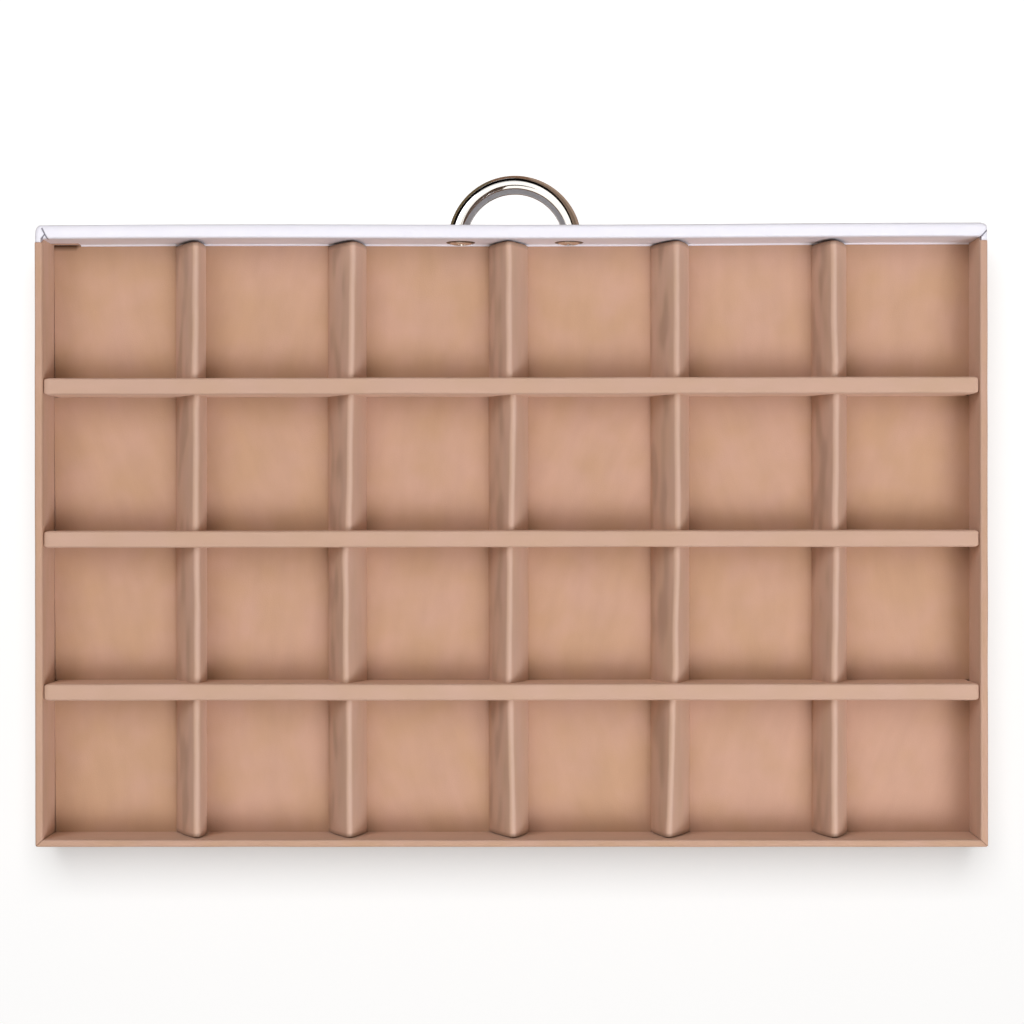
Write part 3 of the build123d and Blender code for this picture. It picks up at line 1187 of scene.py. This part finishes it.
        high = self.plan.return_high + Vector((self.thickness, 0, 0))
        pair = (self.return_radius, self.return_radius)
        add_slab(skin, self.plan.return_low, high, (pair, pair, pair), self.return_cells, shape)


# Front
@dataclass(frozen=True)
class Fold:
    """A sharp fold in the leatherette on top of the front, its places in X and Y given in millimetres."""

    route: tuple[Pair, ...]

    def nearness(self, spot: Vector, width: float) -> float:
        """Say how close a place is to the fold.

        Args:
            spot: The place's X and Y, in metres.
            width: How far off the fold it is still half in it.

        Returns:
            A value from 0 well away to 1 on the fold.
        """
        closest = math.inf
        for a, b in zip(self.route, self.route[1:]):
            start, end = Vector(a) * MM, Vector(b) * MM
            along = end - start
            share = min(1.0, max(0.0, (spot - start).dot(along) / along.length_squared))
            closest = min(closest, (spot - start - along * share).length)
        return math.exp(-((closest / width) ** 2))


@dataclass
class FrontPanel:
    """The leatherette round the front board: face, ends and top in one piece, and a flap down the inside."""

    leatherette: Material
    plan: TrayPlan
    top_radius: float = 1.2 * MM
    inner_radius: float = 0.8 * MM
    corner_radius: float = 1.65 * MM
    loose_corner: Pair = (1.9 * MM, 3.2 * MM)
    butt_radius: float = 0.2 * MM
    least_radius: float = 0.1 * MM
    fine_cell: float = 0.16 * MM
    face_cell: float = 2.0 * MM
    length_cell: float = 2.5 * MM
    step_width: float = 0.1 * MM
    folded_reach: float = 6.0 * MM
    sway: float = 0.2 * MM
    sway_size: float = 240 * MM
    sway_peak: float = -20 * MM
    fold_depth: float = 0.28 * MM
    fold_width: float = 0.21 * MM
    washer_clearance: float = 0.05 * MM
    shank_hole_radius: float = 2.2 * MM
    cut_past: float = 2 * MM
    seat_sunk: float = 0.1 * MM
    lip_depth: float = 0.5 * MM
    lip_height: float = 0.8 * MM
    lip_gap: float = 0.02 * MM
    lip_unevenness: float = 0.12
    lip_wave: float = 14 * MM
    lip_seed: int = 4
    return_thickness: float = 0.5 * MM
    loose_folds: tuple[Fold, ...] = (
        Fold(((157.5, -103.5), (156.5, -101.5), (155.3, -99.4))),
        Fold(((156.5, -101.5), (157.7, -99.9))),
    )
    tight_folds: tuple[Fold, ...] = (Fold(((-160.2, -102.6), (-156.9, -99.1))),)

    def build(self) -> None:
        skin = Skin()
        self.add_cover(skin)
        cover = skin.make("front_wrap", self.leatherette, "front_leatherette")
        self.cut_holes(cover)

    def straighten(self, x: float) -> float:
        """Say how far the hand-wrapped panel is out of line at a place along it."""
        return self.sway * math.cos(2 * math.pi * (x - self.sway_peak) / self.sway_size)

    def lip_span(self) -> Pair:
        """Give the heights between which the flap's lower edge stands proud."""
        foot = self.plan.floor_top + self.lip_gap
        return foot, foot + self.lip_height

    def lines(self) -> tuple[list[float], list[float], list[float]]:
        """Give the cover's grid lines: fine at the folded ends, on the top and beside the suede's end."""

        def sides(place: float) -> Pair:
            """Give the two sides of a step in the inner face."""
            return place - self.step_width / 2, place + self.step_width / 2

        plan, jump, fine, face = self.plan, self.step_width, self.fine_cell, self.face_cell
        folded, pad = plan.inner_side - self.folded_reach, plan.inner_side + self.return_thickness
        x_stops = [-plan.half_length, *sides(-pad), *sides(-plan.inner_side), -folded]
        x_stops += [*sides(plan.return_low.x), *sides(pad), plan.half_length]
        x_cells = [fine, jump, fine, jump, fine, self.length_cell, jump, fine, jump, fine]
        lip_foot, lip_top = self.lip_span()
        z_stops = [plan.foot, *sides(plan.base_top), *sides(lip_foot), lip_top]
        z_stops += [*sides(plan.return_high.z), plan.rim_top - 2 * self.top_radius, plan.rim_top]
        z_cells = [face, jump, face, jump, fine, face / 2, jump, face, fine]
        y_lines = even(plan.front_face, plan.inner_front, fine)
        return stations(x_stops, x_cells), y_lines, stations(z_stops, z_cells)

    def add_cover(self, skin: Skin) -> None:
        """Add the cover: an outer and an inner skin, joined round the open underside.

        Args:
            skin: The mesh that takes it.
        """
        lines = self.lines()
        counts = tuple(len(line) for line in lines)
        outer: dict[Key, int] = {}
        inner: dict[Key, int] = {}
        for axis, end, corners in surface_quads(counts):
            if axis == 2 and end == 0:
                continue
            for key in corners:
                if key not in outer:
                    place = Vector([lines[a][key[a]] for a in range(3)])
                    inside = key[1] == counts[1] - 1
                    outer[key] = self.cover_point(skin, place, 0.0, inside)
                    inner[key] = self.cover_point(skin, place, self.plan.leatherette_thickness, inside)
            skin.faces.append(tuple(outer[key] for key in corners))
            skin.faces.append(tuple(inner[key] for key in reversed(corners)))
        last_x, last_y = counts[0] - 1, counts[1] - 1
        rim = [(i, 0, 0) for i in range(last_x)] + [(last_x, j, 0) for j in range(last_y)]
        rim += [(i, last_y, 0) for i in range(last_x, 0, -1)] + [(0, j, 0) for j in range(last_y, 0, -1)]
        skin.bridge([[outer[key] for key in rim], [inner[key] for key in rim]], closed=True)

    def cover_point(self, skin: Skin, place: Vector, inset: float, inside: bool) -> int:
        """Add one point of the cover.

        Args:
            skin: The mesh that takes it.
            place: Its place on a plain box.
            inset: How far inside the outer surface it lies.
            inside: Whether it is on the side that looks into the tray.

        Returns:
            The point's number.
        """
        plan, half_step = self.plan, self.step_width / 2
        pad_start = plan.inner_side + self.return_thickness
        pad = smooth_step(pad_start - half_step, pad_start + half_step, abs(place.x))
        back = plan.inner_front + (plan.wall_front - plan.inner_front) * pad
        share = (place.y - plan.front_face) / (plan.inner_front - plan.front_face)
        low = Vector((-plan.half_length + inset, plan.front_face + inset, plan.foot))
        high = Vector((plan.half_length - inset, back - inset, plan.rim_top - inset))
        along = min(max(place.x, low.x), high.x)
        fitted = Vector((along, low.y + (high.y - low.y) * share, min(place.z, high.z)))
        butt = self.inner_radius + (self.butt_radius - self.inner_radius) * pad
        corner_depth = self.loose_corner[1] if place.x > 0 else self.corner_radius
        radii = (
            (self.corner_radius - inset, self.loose_corner[0] - inset),
            (corner_depth - inset, max(self.least_radius, butt - inset)),
            (self.least_radius, self.top_radius - inset),
        )
        low.z -= self.least_radius
        spot, _ = soften(fitted, low, high, radii)
        spot.y += self.straighten(spot.x) * (1 - pad)
        if inset:
            return skin.point(spot)
        # Near a fold the leatherette sinks and takes painted shade
        creased = self.creased(spot)
        spot.z -= self.fold_depth * creased
        if inside:
            spot.y += self.lip(place) - self.recess(place)
        return skin.point(spot, crease=creased)

    def creased(self, spot: Vector) -> float:
        """Say how deep in a fold a place is.

        Args:
            spot: The place.

        Returns:
            A value from 0 on flat leatherette to 1 in a fold.
        """
        plan = self.plan
        if abs(spot.x) < plan.inner_side - self.folded_reach:
            return 0.0
        on_top = smooth_step(plan.rim_top - 2 * self.top_radius, plan.rim_top - self.top_radius, spot.z)
        folds = self.loose_folds if spot.x > 0 else self.tight_folds
        return on_top * max(fold.nearness(spot.xy, self.fold_width) for fold in folds)

    def recess(self, place: Vector) -> float:
        """Say how far the inner face is let in for the end of the right wall's suede.

        Args:
            place: A place on the inner face.

        Returns:
            The distance.
        """
        plan, depth = self.plan, self.return_thickness
        wide = plan.return_low.x < place.x < plan.inner_side + depth
        return depth if wide and plan.base_top < place.z < plan.return_high.z else 0.0

    def lip(self, place: Vector) -> float:
        """Say how far the flap's lower edge stands proud of the inner face, where it catches the light.

        Args:
            place: A place on the inner face.

        Returns:
            The distance.
        """
        foot, top = self.lip_span()
        wide = -self.plan.inner_side < place.x < self.plan.return_low.x
        if not (wide and foot - self.step_width / 2 < place.z < top):
            return 0.0
        uneven = 1 + self.lip_unevenness * wander(self.lip_seed, place.x, self.lip_wave)
        rounding = math.sqrt(max(0.0, 1 - max(0.0, (place.z - foot) / (top - foot)) ** 2))
        return self.lip_depth * uneven * rounding

    def cut_holes(self, cover: Object) -> None:
        """Cut the holes of the two screws and the seats of their washers.

        Args:
            cover: The piece to cut.
        """
        low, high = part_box("handle_washers")
        radius = (high.z - low.z) / 2
        seat = (low.y - self.seat_sunk, high.y + self.cut_past, radius + self.washer_clearance)
        shank = (self.plan.front_face - self.cut_past, high.y, self.shank_hole_radius)
        cutters = []
        for x in (low.x + radius, high.x - radius):
            for start, end, size in (seat, shank):
                cutters.append(round_cutter(Vector((x, 0, (low.z + high.z) / 2)), start, end, size))
        cut_away(cover, cutters)


def round_cutter(axis: Vector, start: float, end: float, radius: float) -> Object:
    """Make a round cutter along Y.

    Args:
        axis: A place on its axis, at Y = 0.
        start: The Y where it starts.
        end: The Y where it ends.
        radius: Its radius.

    Returns:
        The cutter.
    """
    work = bmesh.new()
    middle = axis + Vector((0, (start + end) / 2, 0))
    turned = Matrix.Translation(middle) @ Matrix.Rotation(math.pi / 2, 4, "X")
    size = {"radius1": radius, "radius2": radius, "depth": end - start}
    bmesh.ops.create_cone(work, cap_ends=True, segments=LATHE_STEPS, matrix=turned, **size)
    mesh = bpy.data.meshes.new("cutter")
    work.to_mesh(mesh)
    work.free()
    return add_object("cutter", mesh)


def cut_away(piece: Object, cutters: list[Object]) -> None:
    """Take the cutters' shapes out of a piece, and delete the cutters.

    Args:
        piece: The piece to cut.
        cutters: The shapes.
    """
    for cutter in cutters:
        cut = piece.modifiers.new("cut", "BOOLEAN")
        cut.operation = "DIFFERENCE"
        cut.solver = "EXACT"
        cut.object = cutter
    graph = bpy.context.evaluated_depsgraph_get()
    plain = piece.data
    finished = bpy.data.meshes.new_from_object(piece.evaluated_get(graph))
    piece.modifiers.clear()
    piece.data = finished
    bpy.data.meshes.remove(plain)
    for cutter in cutters:
        mesh = cutter.data
        bpy.data.objects.remove(cutter)
        bpy.data.meshes.remove(mesh)


# Handle
@dataclass
class BowHandle:
    """The rigid bow: a bent rod that butts on the front, two countersunk screws and turned washers."""

    nickel: Material
    turned_steel: Material
    plated_steel: Material
    plan: TrayPlan
    behind_face: float = 4.9 * MM
    buffed_away: float = 0.15 * MM
    tapped_radius: float = 2.0 * MM
    tapped_depth: float = 4.6 * MM
    washer_bore: float = 2.15 * MM
    washer_cone: float = 3.8 * MM
    washer_rounding: float = 0.5 * MM
    washer_steps: int = 5
    cone_edge: float = 0.05 * MM
    head_radius: float = 3.75 * MM
    dome_rings: int = 30
    dome_steps: int = 96
    shank_radius: float = 1.95 * MM
    shank_rounding: float = 0.4 * MM
    slot_reach: float = 1.9 * MM
    slot_end: float = 0.8
    slot_width: float = 0.42 * MM
    slot_flare: float = 1.7
    slot_depth: float = 1.1 * MM
    slot_turns: Pair = (0.12, -0.15)
    bow_steps: int = 112
    rod_steps: int = 48
    axes: list[Vector] = field(default_factory=list)

    def build(self) -> Object:
        """Make the bow, the washers and the screws, and give the bow."""
        low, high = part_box("handle_washers")
        radius = (high.z - low.z) / 2
        self.axes = [Vector((x, 0, (low.z + high.z) / 2)) for x in (low.x + radius, high.x - radius)]
        self.washers(low.y, high.y, radius)
        self.screws(high.y)
        return self.bow()

    def bow(self) -> Object:
        """Make the bent rod, ended on the front's face, with a tapped hole in each end."""
        low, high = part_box("handle_bow")
        rod = (high.z - low.z) / 2
        centre_y = self.plan.front_face + self.behind_face
        centre = Vector(((low.x + high.x) / 2, centre_y, (low.z + high.z) / 2))
        bend = centre.y - low.y - rod - self.buffed_away
        skin = Skin()
        rows = []
        for step in range(self.bow_steps + 1):
            ring = []
            for turn in range(self.rod_steps):
                angle = 2 * math.pi * turn / self.rod_steps
                reach = bend + rod * math.cos(angle)
                start = math.asin(self.behind_face / reach)
                way = start + (math.pi - 2 * start) * (step / self.bow_steps)
                spot = Vector((-reach * math.cos(way), -reach * math.sin(way), rod * math.sin(angle)))
                ring.append(skin.point(centre + spot, worn=bend * way))
            rows.append(ring)
        skin.bridge(rows, closed=True)
        for row, axis in zip((rows[0], rows[-1]), self.axes):
            self.tap(skin, row, axis)
        return skin.make("bow", self.nickel, "handle_bow")

    def tap(self, skin: Skin, row: list[int], axis: Vector) -> None:
        """Close an end of the rod with a flat ring and a blind hole.

        Args:
            skin: The rod's mesh.
            row: The end's point numbers.
            axis: A place on the hole's axis.
        """
        rings = [row]
        for depth in (0.0, self.tapped_depth):
            ring = []
            for number in row:
                around = skin.points[number] - axis
                around.y = 0
                spot = axis + around.normalized() * self.tapped_radius
                ring.append(skin.point(Vector((spot.x, self.plan.front_face - depth, spot.z))))
            rings.append(ring)
        skin.bridge(rings, closed=True)
        skin.faces.append(tuple(rings[-1]))

    def lathe(self, skin: Skin, profile: list[Pair], axis: Vector, segments: int) -> list[list[int]]:
        """Turn a profile round an axis along Y.

        Args:
            skin: The mesh that takes it.
            profile: Radius and Y of each point.
            axis: A place on the axis.
            segments: The number of steps round it.

        Returns:
            The point numbers, one row for each point of the profile.
        """
        rows = []
        for radius, y in profile:
            row = []
            for step in range(segments):
                angle = 2 * math.pi * step / segments
                spot = Vector((axis.x + radius * math.cos(angle), y, axis.z + radius * math.sin(angle)))
                row.append(skin.point(spot, worn=radius))
            rows.append(row)
        skin.bridge(rows, closed=True)
        return rows

    def washers(self, back: float, face: float, radius: float) -> None:
        """Make the two washers: a flat ring with an eased rim and a cone for the screw's head.

        Args:
            back: The Y of their back.
            face: The Y of their face.
            radius: Their radius.
        """
        bore, cone, edge = self.washer_bore, self.washer_cone, self.cone_edge
        ease = self.washer_rounding
        turn = [math.pi / 2 * step / self.washer_steps for step in range(self.washer_steps + 1)]
        profile = [(bore, back), (bore, face - (cone - bore))]
        profile += [(cone - edge, face - edge), (cone + edge, face)]
        profile += [(radius - ease + ease * math.sin(a), face - ease + ease * math.cos(a)) for a in turn]
        profile += [(radius, back)]
        skin = Skin()
        for axis in self.axes:
            rows = self.lathe(skin, profile, axis, LATHE_STEPS)
            skin.bridge([rows[-1], rows[0]], closed=True)
        skin.make("washers", self.turned_steel, "handle_washers")

    def screws(self, rim_y: float) -> None:
        """Make the two raised countersunk screws, each with a cross recess.

        Args:
            rim_y: The Y of their heads' rims.
        """
        low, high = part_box("handle_screws")
        cone = rim_y - (self.head_radius - self.shank_radius)
        ease = self.shank_rounding
        profile = [(self.shank_radius - ease, low.y), (self.shank_radius, low.y + ease)]
        profile += [(self.shank_radius, cone), (self.head_radius, rim_y)]
        skin = Skin()
        for axis, turn in zip(self.axes, self.slot_turns):
            rows = self.lathe(skin, profile, axis, self.dome_steps)
            skin.faces.append(tuple(rows[0]))
            self.dome(skin, rows[-1], Vector((axis.x, rim_y, axis.z)), high.y - rim_y, turn)
        skin.make("screws", self.plated_steel, "handle_screws")

    def dome(self, skin: Skin, rim: list[int], centre: Vector, rise: float, turn: float) -> None:
        """Close a screw's head with a low dome that has a cross recess.

        Args:
            skin: The screws' mesh.
            rim: The point numbers of the head's rim.
            centre: The middle of the rim.
            rise: The dome's height.
            turn: The recess's angle.
        """
        rows = [rim]
        for ring in range(1, self.dome_rings):
            radius = self.head_radius * math.cos(math.pi / 2 * ring / self.dome_rings)
            bulge = math.sqrt(1 - (radius / self.head_radius) ** 2)
            row = []
            for step in range(len(rim)):
                angle = 2 * math.pi * step / len(rim)
                across = radius * math.cos(angle - turn), radius * math.sin(angle - turn)
                depth = max(self.arm(*across), self.arm(across[1], across[0]))
                y = centre.y + rise * bulge - self.slot_depth * depth
                spot = Vector((centre.x + radius * math.cos(angle), y, centre.z + radius * math.sin(angle)))
                row.append(skin.point(spot, worn=radius))
            rows.append(row)
        skin.bridge(rows, closed=True)
        skin.faces.append(tuple(rows[-1]))

    def arm(self, along: float, across: float) -> float:
        """Say how deep one arm of the cross recess is at a place on the head, from 0 to 1."""
        side = 1 - smooth_step(self.slot_width, self.slot_flare * self.slot_width, abs(across))
        return side * (1 - smooth_step(self.slot_end * self.slot_reach, self.slot_reach, abs(along)))


# Boards and underside
@dataclass(frozen=True)
class HiddenBoards:
    """The boards inside the wraps and the lining under them: CAD nodes that stay, with their own finish."""

    fibreboard: Material
    lining: Material
    boards: tuple[str, ...] = ("base", "front", "left_wall", "right_wall", "rear_wall")

    def build(self) -> None:
        """Give each node its finish."""
        finishes = {"bottom_cover": self.lining}
        finishes.update({f"{board}_board": self.fibreboard for board in self.boards})
        for name, material in finishes.items():
            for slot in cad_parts[name].material_slots:
                slot.material = material
            log.info("%s: kept, with %s", name, material.name)


# Studio
@dataclass(frozen=True)
class Softbox:
    """A rectangular lamp over the tray, aimed at its middle, with an evenly bright front."""

    name: str
    place: Triple
    width: float
    depth: float
    brightness: float
    tint: str = "ffffff"

    def build(self) -> Object:
        """Make the lamp."""
        lamp = bpy.data.lights.new(self.name, "AREA")
        lamp.shape = "RECTANGLE"
        lamp.size = self.width
        lamp.size_y = self.depth
        lamp.energy = self.brightness * math.pi * self.width * self.depth
        lamp.color = linear(self.tint)[:3]
        box = add_object(self.name, lamp)
        box.location = self.place
        box.rotation_euler = (-Vector(self.place)).to_track_quat("-Z", "Y").to_euler()
        return box


@dataclass
class Studio:
    """The camera over the tray, a white floor, soft lamps, and cards that only polished metal mirrors."""

    plan: TrayPlan
    eye: Triple = (-5.987 * MM, -8.084 * MM, 726.58 * MM)
    tilt: Triple = (-0.0172, 0.4472, 179.9274)
    lens: float = 73.613
    sensor: float = 36.0
    nearest: float = 0.01
    floor_half: float = 1.6
    floor_glow: float = 0.45
    sky_brightness: float = 0.15
    sky_tint: str = "fff9f3"
    card_distance: float = 0.5
    cloth_height: float = 0.5 * MM
    camera_radius: float = 0.08
    camera_rise: float = 0.03
    shoulder: Pair = (105, 180)
    shoulder_elevation: float = 50
    overhead: Softbox = Softbox("overhead_softbox", (0.0, 0.0, 1.3), 2.2, 2.2, 0.7, "fff6ea")
    key: Softbox = Softbox("key_softbox", (-0.56, 0.43, 1.03), 0.6, 0.6, 7.7, "f3f6ff")
    fill: Softbox = Softbox("fill_softbox", (0.62, -0.5, 1.0), 0.7, 0.7, 2.5, "f8f8ff")
    floor_light: Softbox = Softbox("floor_softbox", (0.05, -0.7, 1.6), 1.3, 1.1, 4.3)

    def build(self, bow: Object) -> None:
        """Set up the studio.

        Args:
            bow: The handle, which the floor's own lamp lets out of its shadows.
        """
        self.camera()
        self.sky()
        floor = self.floor()
        for softbox in (self.overhead, self.key, self.fill):
            lamp = softbox.build()
            lamp.light_linking.receiver_collection = self.linked(lamp, floor, "EXCLUDE")
        low_lamp = self.floor_light.build()
        low_lamp.light_linking.receiver_collection = self.linked(low_lamp, floor, "INCLUDE")
        low_lamp.light_linking.blocker_collection = self.linked(low_lamp, bow, "EXCLUDE")
        self.mirrored_cards()
        bpy.context.scene.view_settings.view_transform = "Standard"

    def camera(self) -> None:
        """Put the camera where the photograph was taken from."""
        data = bpy.data.cameras.new("camera")
        data.lens = self.lens
        data.sensor_width = self.sensor
        data.clip_start = self.nearest
        camera = add_object("camera", data)
        camera.location = self.eye
        camera.rotation_euler = [math.radians(angle) for angle in self.tilt]
        bpy.context.scene.camera = camera

    def sky(self) -> None:
        """Make the studio's air: white where it is seen or mirrored, and a weak fill on matt surfaces."""
        world = bpy.data.worlds.new("white_studio")
        world.use_nodes = True
        tree = world.node_tree
        tree.nodes.clear()
        matt = add_node(tree, "LightPath").outputs["Is Diffuse Ray"]
        dimmed = {"Value": matt, "To Min": 1.0, "To Max": self.sky_brightness}
        level = add_node(tree, "MapRange", dimmed)
        tints = {0: matt, 6: linear("ffffff"), 7: linear(self.sky_tint)}
        tint = add_node(tree, "Mix", tints, COLOURS).outputs[2]
        air = add_node(tree, "Background", {"Color": tint, "Strength": level})
        add_node(tree, "OutputWorld", {"Surface": air})
        bpy.context.scene.world = world

    def floor(self) -> Object:
        """Make the white floor that the tray stands on."""
        paper = StudioSurface("matt_white_floor", "f0f0f0", "c8c8c8", self.floor_glow).build()
        half = self.floor_half
        corners = [(-half, -half, 0), (half, -half, 0), (half, half, 0), (-half, half, 0)]
        return stage_surface("studio_floor", corners, [(0, 1, 2, 3)], paper)

    def linked(self, lamp: Object, target: Object, state: str) -> Collection:
        """Make a collection that links a lamp's light or shadows to one object, or keeps them off it.

        Args:
            lamp: The lamp.
            target: The object.
            state: INCLUDE for only the object, EXCLUDE for all else.

        Returns:
            The collection.
        """
        group = bpy.data.collections.new(f"{lamp.name}_{target.name}")
        group.objects.link(target)
        group.collection_objects[0].light_linking.link_state = state
        return group

    def mirrored_cards(self) -> None:
        """Stand cards round the handle and a dark camera over it, for the bands in the polished metal."""
        shades = {"black": "141210", "tan": "b89f8b", "brown": "96765f", "olive": "7a6a4e"}
        cards = {name: StudioSurface(f"{name}_card", code, code).build() for name, code in shades.items()}
        self.standing_card("front_card_right", cards["black"], (180, 270), (72, 3), (86, 42))
        self.standing_card("front_card_left", cards["black"], (270, 360), (3, -1), (42, 31))
        self.standing_card("low_card_right", cards["tan"], (180, 270), (0, 0), (72, 3))
        self.standing_card("rear_card", cards["brown"], (0, 180), (0, 0), (44, 52))
        self.table_card("table_right", cards["tan"], (180, 255))
        self.table_card("table_middle", cards["brown"], (255, 290))
        self.table_card("table_left", cards["olive"], (290, 360))
        eye = Vector(self.eye) + Vector((0, 0, self.camera_rise))
        rim = [eye + Vector((x, y, 0)) for x, y in self.arc((0, 360), self.camera_radius)[:-1]]
        only_mirrored(stage_surface("camera_body", rim, [tuple(range(len(rim)))], cards["black"]))
        height = self.card_distance * math.tan(math.radians(self.shoulder_elevation))
        edge = self.arc(self.shoulder, self.card_distance)
        corners = [eye] + [Vector((x, y + self.plan.front_face, height)) for x, y in edge]
        fan = [(0, i, i + 1) for i in range(1, len(edge))]
        only_mirrored(stage_surface("shoulder_card", corners, fan, cards["brown"]))

    def arc(self, bearings: Pair, radius: float) -> list[Pair]:
        """Give places on a level arc.

        Args:
            bearings: Where it starts and ends, in degrees from +X.
            radius: Its radius.

        Returns:
            X and Y of each place, from the arc's centre.
        """
        steps = 64
        start, end = (math.radians(bearing) for bearing in bearings)
        angles = [start + (end - start) * step / steps for step in range(steps + 1)]
        return [(radius * math.cos(angle), radius * math.sin(angle)) for angle in angles]

    def standing_card(self, name: str, material: Material, bearings: Pair, low: Pair, high: Pair) -> None:
        """Stand a bent card round the handle.

        Args:
            name: The card's name.
            material: Its finish.
            bearings: Where it starts and ends, in degrees from +X.
            low: The elevation of its foot at its start and end, in degrees.
            high: The elevation of its top there.
        """
        edge = self.arc(bearings, self.card_distance)
        last = len(edge) - 1
        corners = []
        for at_start, at_end in (low, high):
            for step, (x, y) in enumerate(edge):
                elevation = math.radians(at_start + (at_end - at_start) * step / last)
                height = max(MM, self.card_distance * math.tan(elevation))
                corners.append((x, y + self.plan.front_face, height))
        faces = [(i, i + 1, i + last + 2, i + last + 1) for i in range(last)]
        only_mirrored(stage_surface(name, corners, faces, material))

    def table_card(self, name: str, material: Material, bearings: Pair) -> None:
        """Lay a sector of cloth on the floor in front of the tray.

        Args:
            name: The card's name.
            material: Its finish.
            bearings: Where it starts and ends, in degrees from +X.
        """
        front = self.plan.front_face - 1 * MM
        edge = self.arc(bearings, self.card_distance)
        corners = [(x, front + y, self.cloth_height) for x, y in [(0, 0), *edge]]
        only_mirrored(stage_surface(name, corners, [tuple(range(len(corners)))], material))


def stage_surface(
    name: str, corners: list[Triple], faces: list[tuple[int, ...]], material: Material
) -> Object:
    """Make a surface that belongs to the studio and not to the object.

    Args:
        name: Its name.
        corners: Its points.
        faces: Its faces.
        material: Its finish.

    Returns:
        The surface.
    """
    mesh = bpy.data.meshes.new(name)
    mesh.from_pydata(corners, [], faces)
    mesh.materials.append(material)
    surface = add_object(name, mesh)
    return surface


def only_mirrored(surface: Object) -> None:
    """Leave a surface visible only in glossy reflections."""
    for kind in ("camera", "diffuse", "transmission", "volume_scatter", "shadow"):
        setattr(surface, f"visible_{kind}", False)


def main() -> None:
    """Build the studio and dress every piece of the tray."""
    logging.basicConfig(level=logging.INFO, format="%(name)s: %(message)s")
    plan = TrayPlan.read()
    suede = BrushedMicrosuede().build()
    leatherette = EmbossedLeatherette().build()
    nickel = PolishedMetal("polished_nickel_plate", "d9d7d5", "d0cecb", 0.04, 0.09).build()
    # Dark brown steel colour, a painted reflection of the tan suede round the washers
    turned_steel = PolishedMetal("turned_steel", "7d6f60", "5f5246", 0.22, 0.36, 0.02 * MM).build()
    plated_steel = PolishedMetal("zinc_plated_steel", "efece6", "dcd7cf", 0.12, 0.24).build()
    FloorCards(suede, plan).build()
    RowDividers(suede).build()
    ColumnDividers(suede, plan).build()
    WallWraps(suede, plan).build()
    FrontPanel(leatherette, plan).build()
    bow = BowHandle(nickel, turned_steel, plated_steel, plan).build()
    HiddenBoards(PressedFibreboard().build(), EmbossedLiningPaper().build()).build()
    Studio(plan).build(bow)


if __name__ == "__main__":
    main()
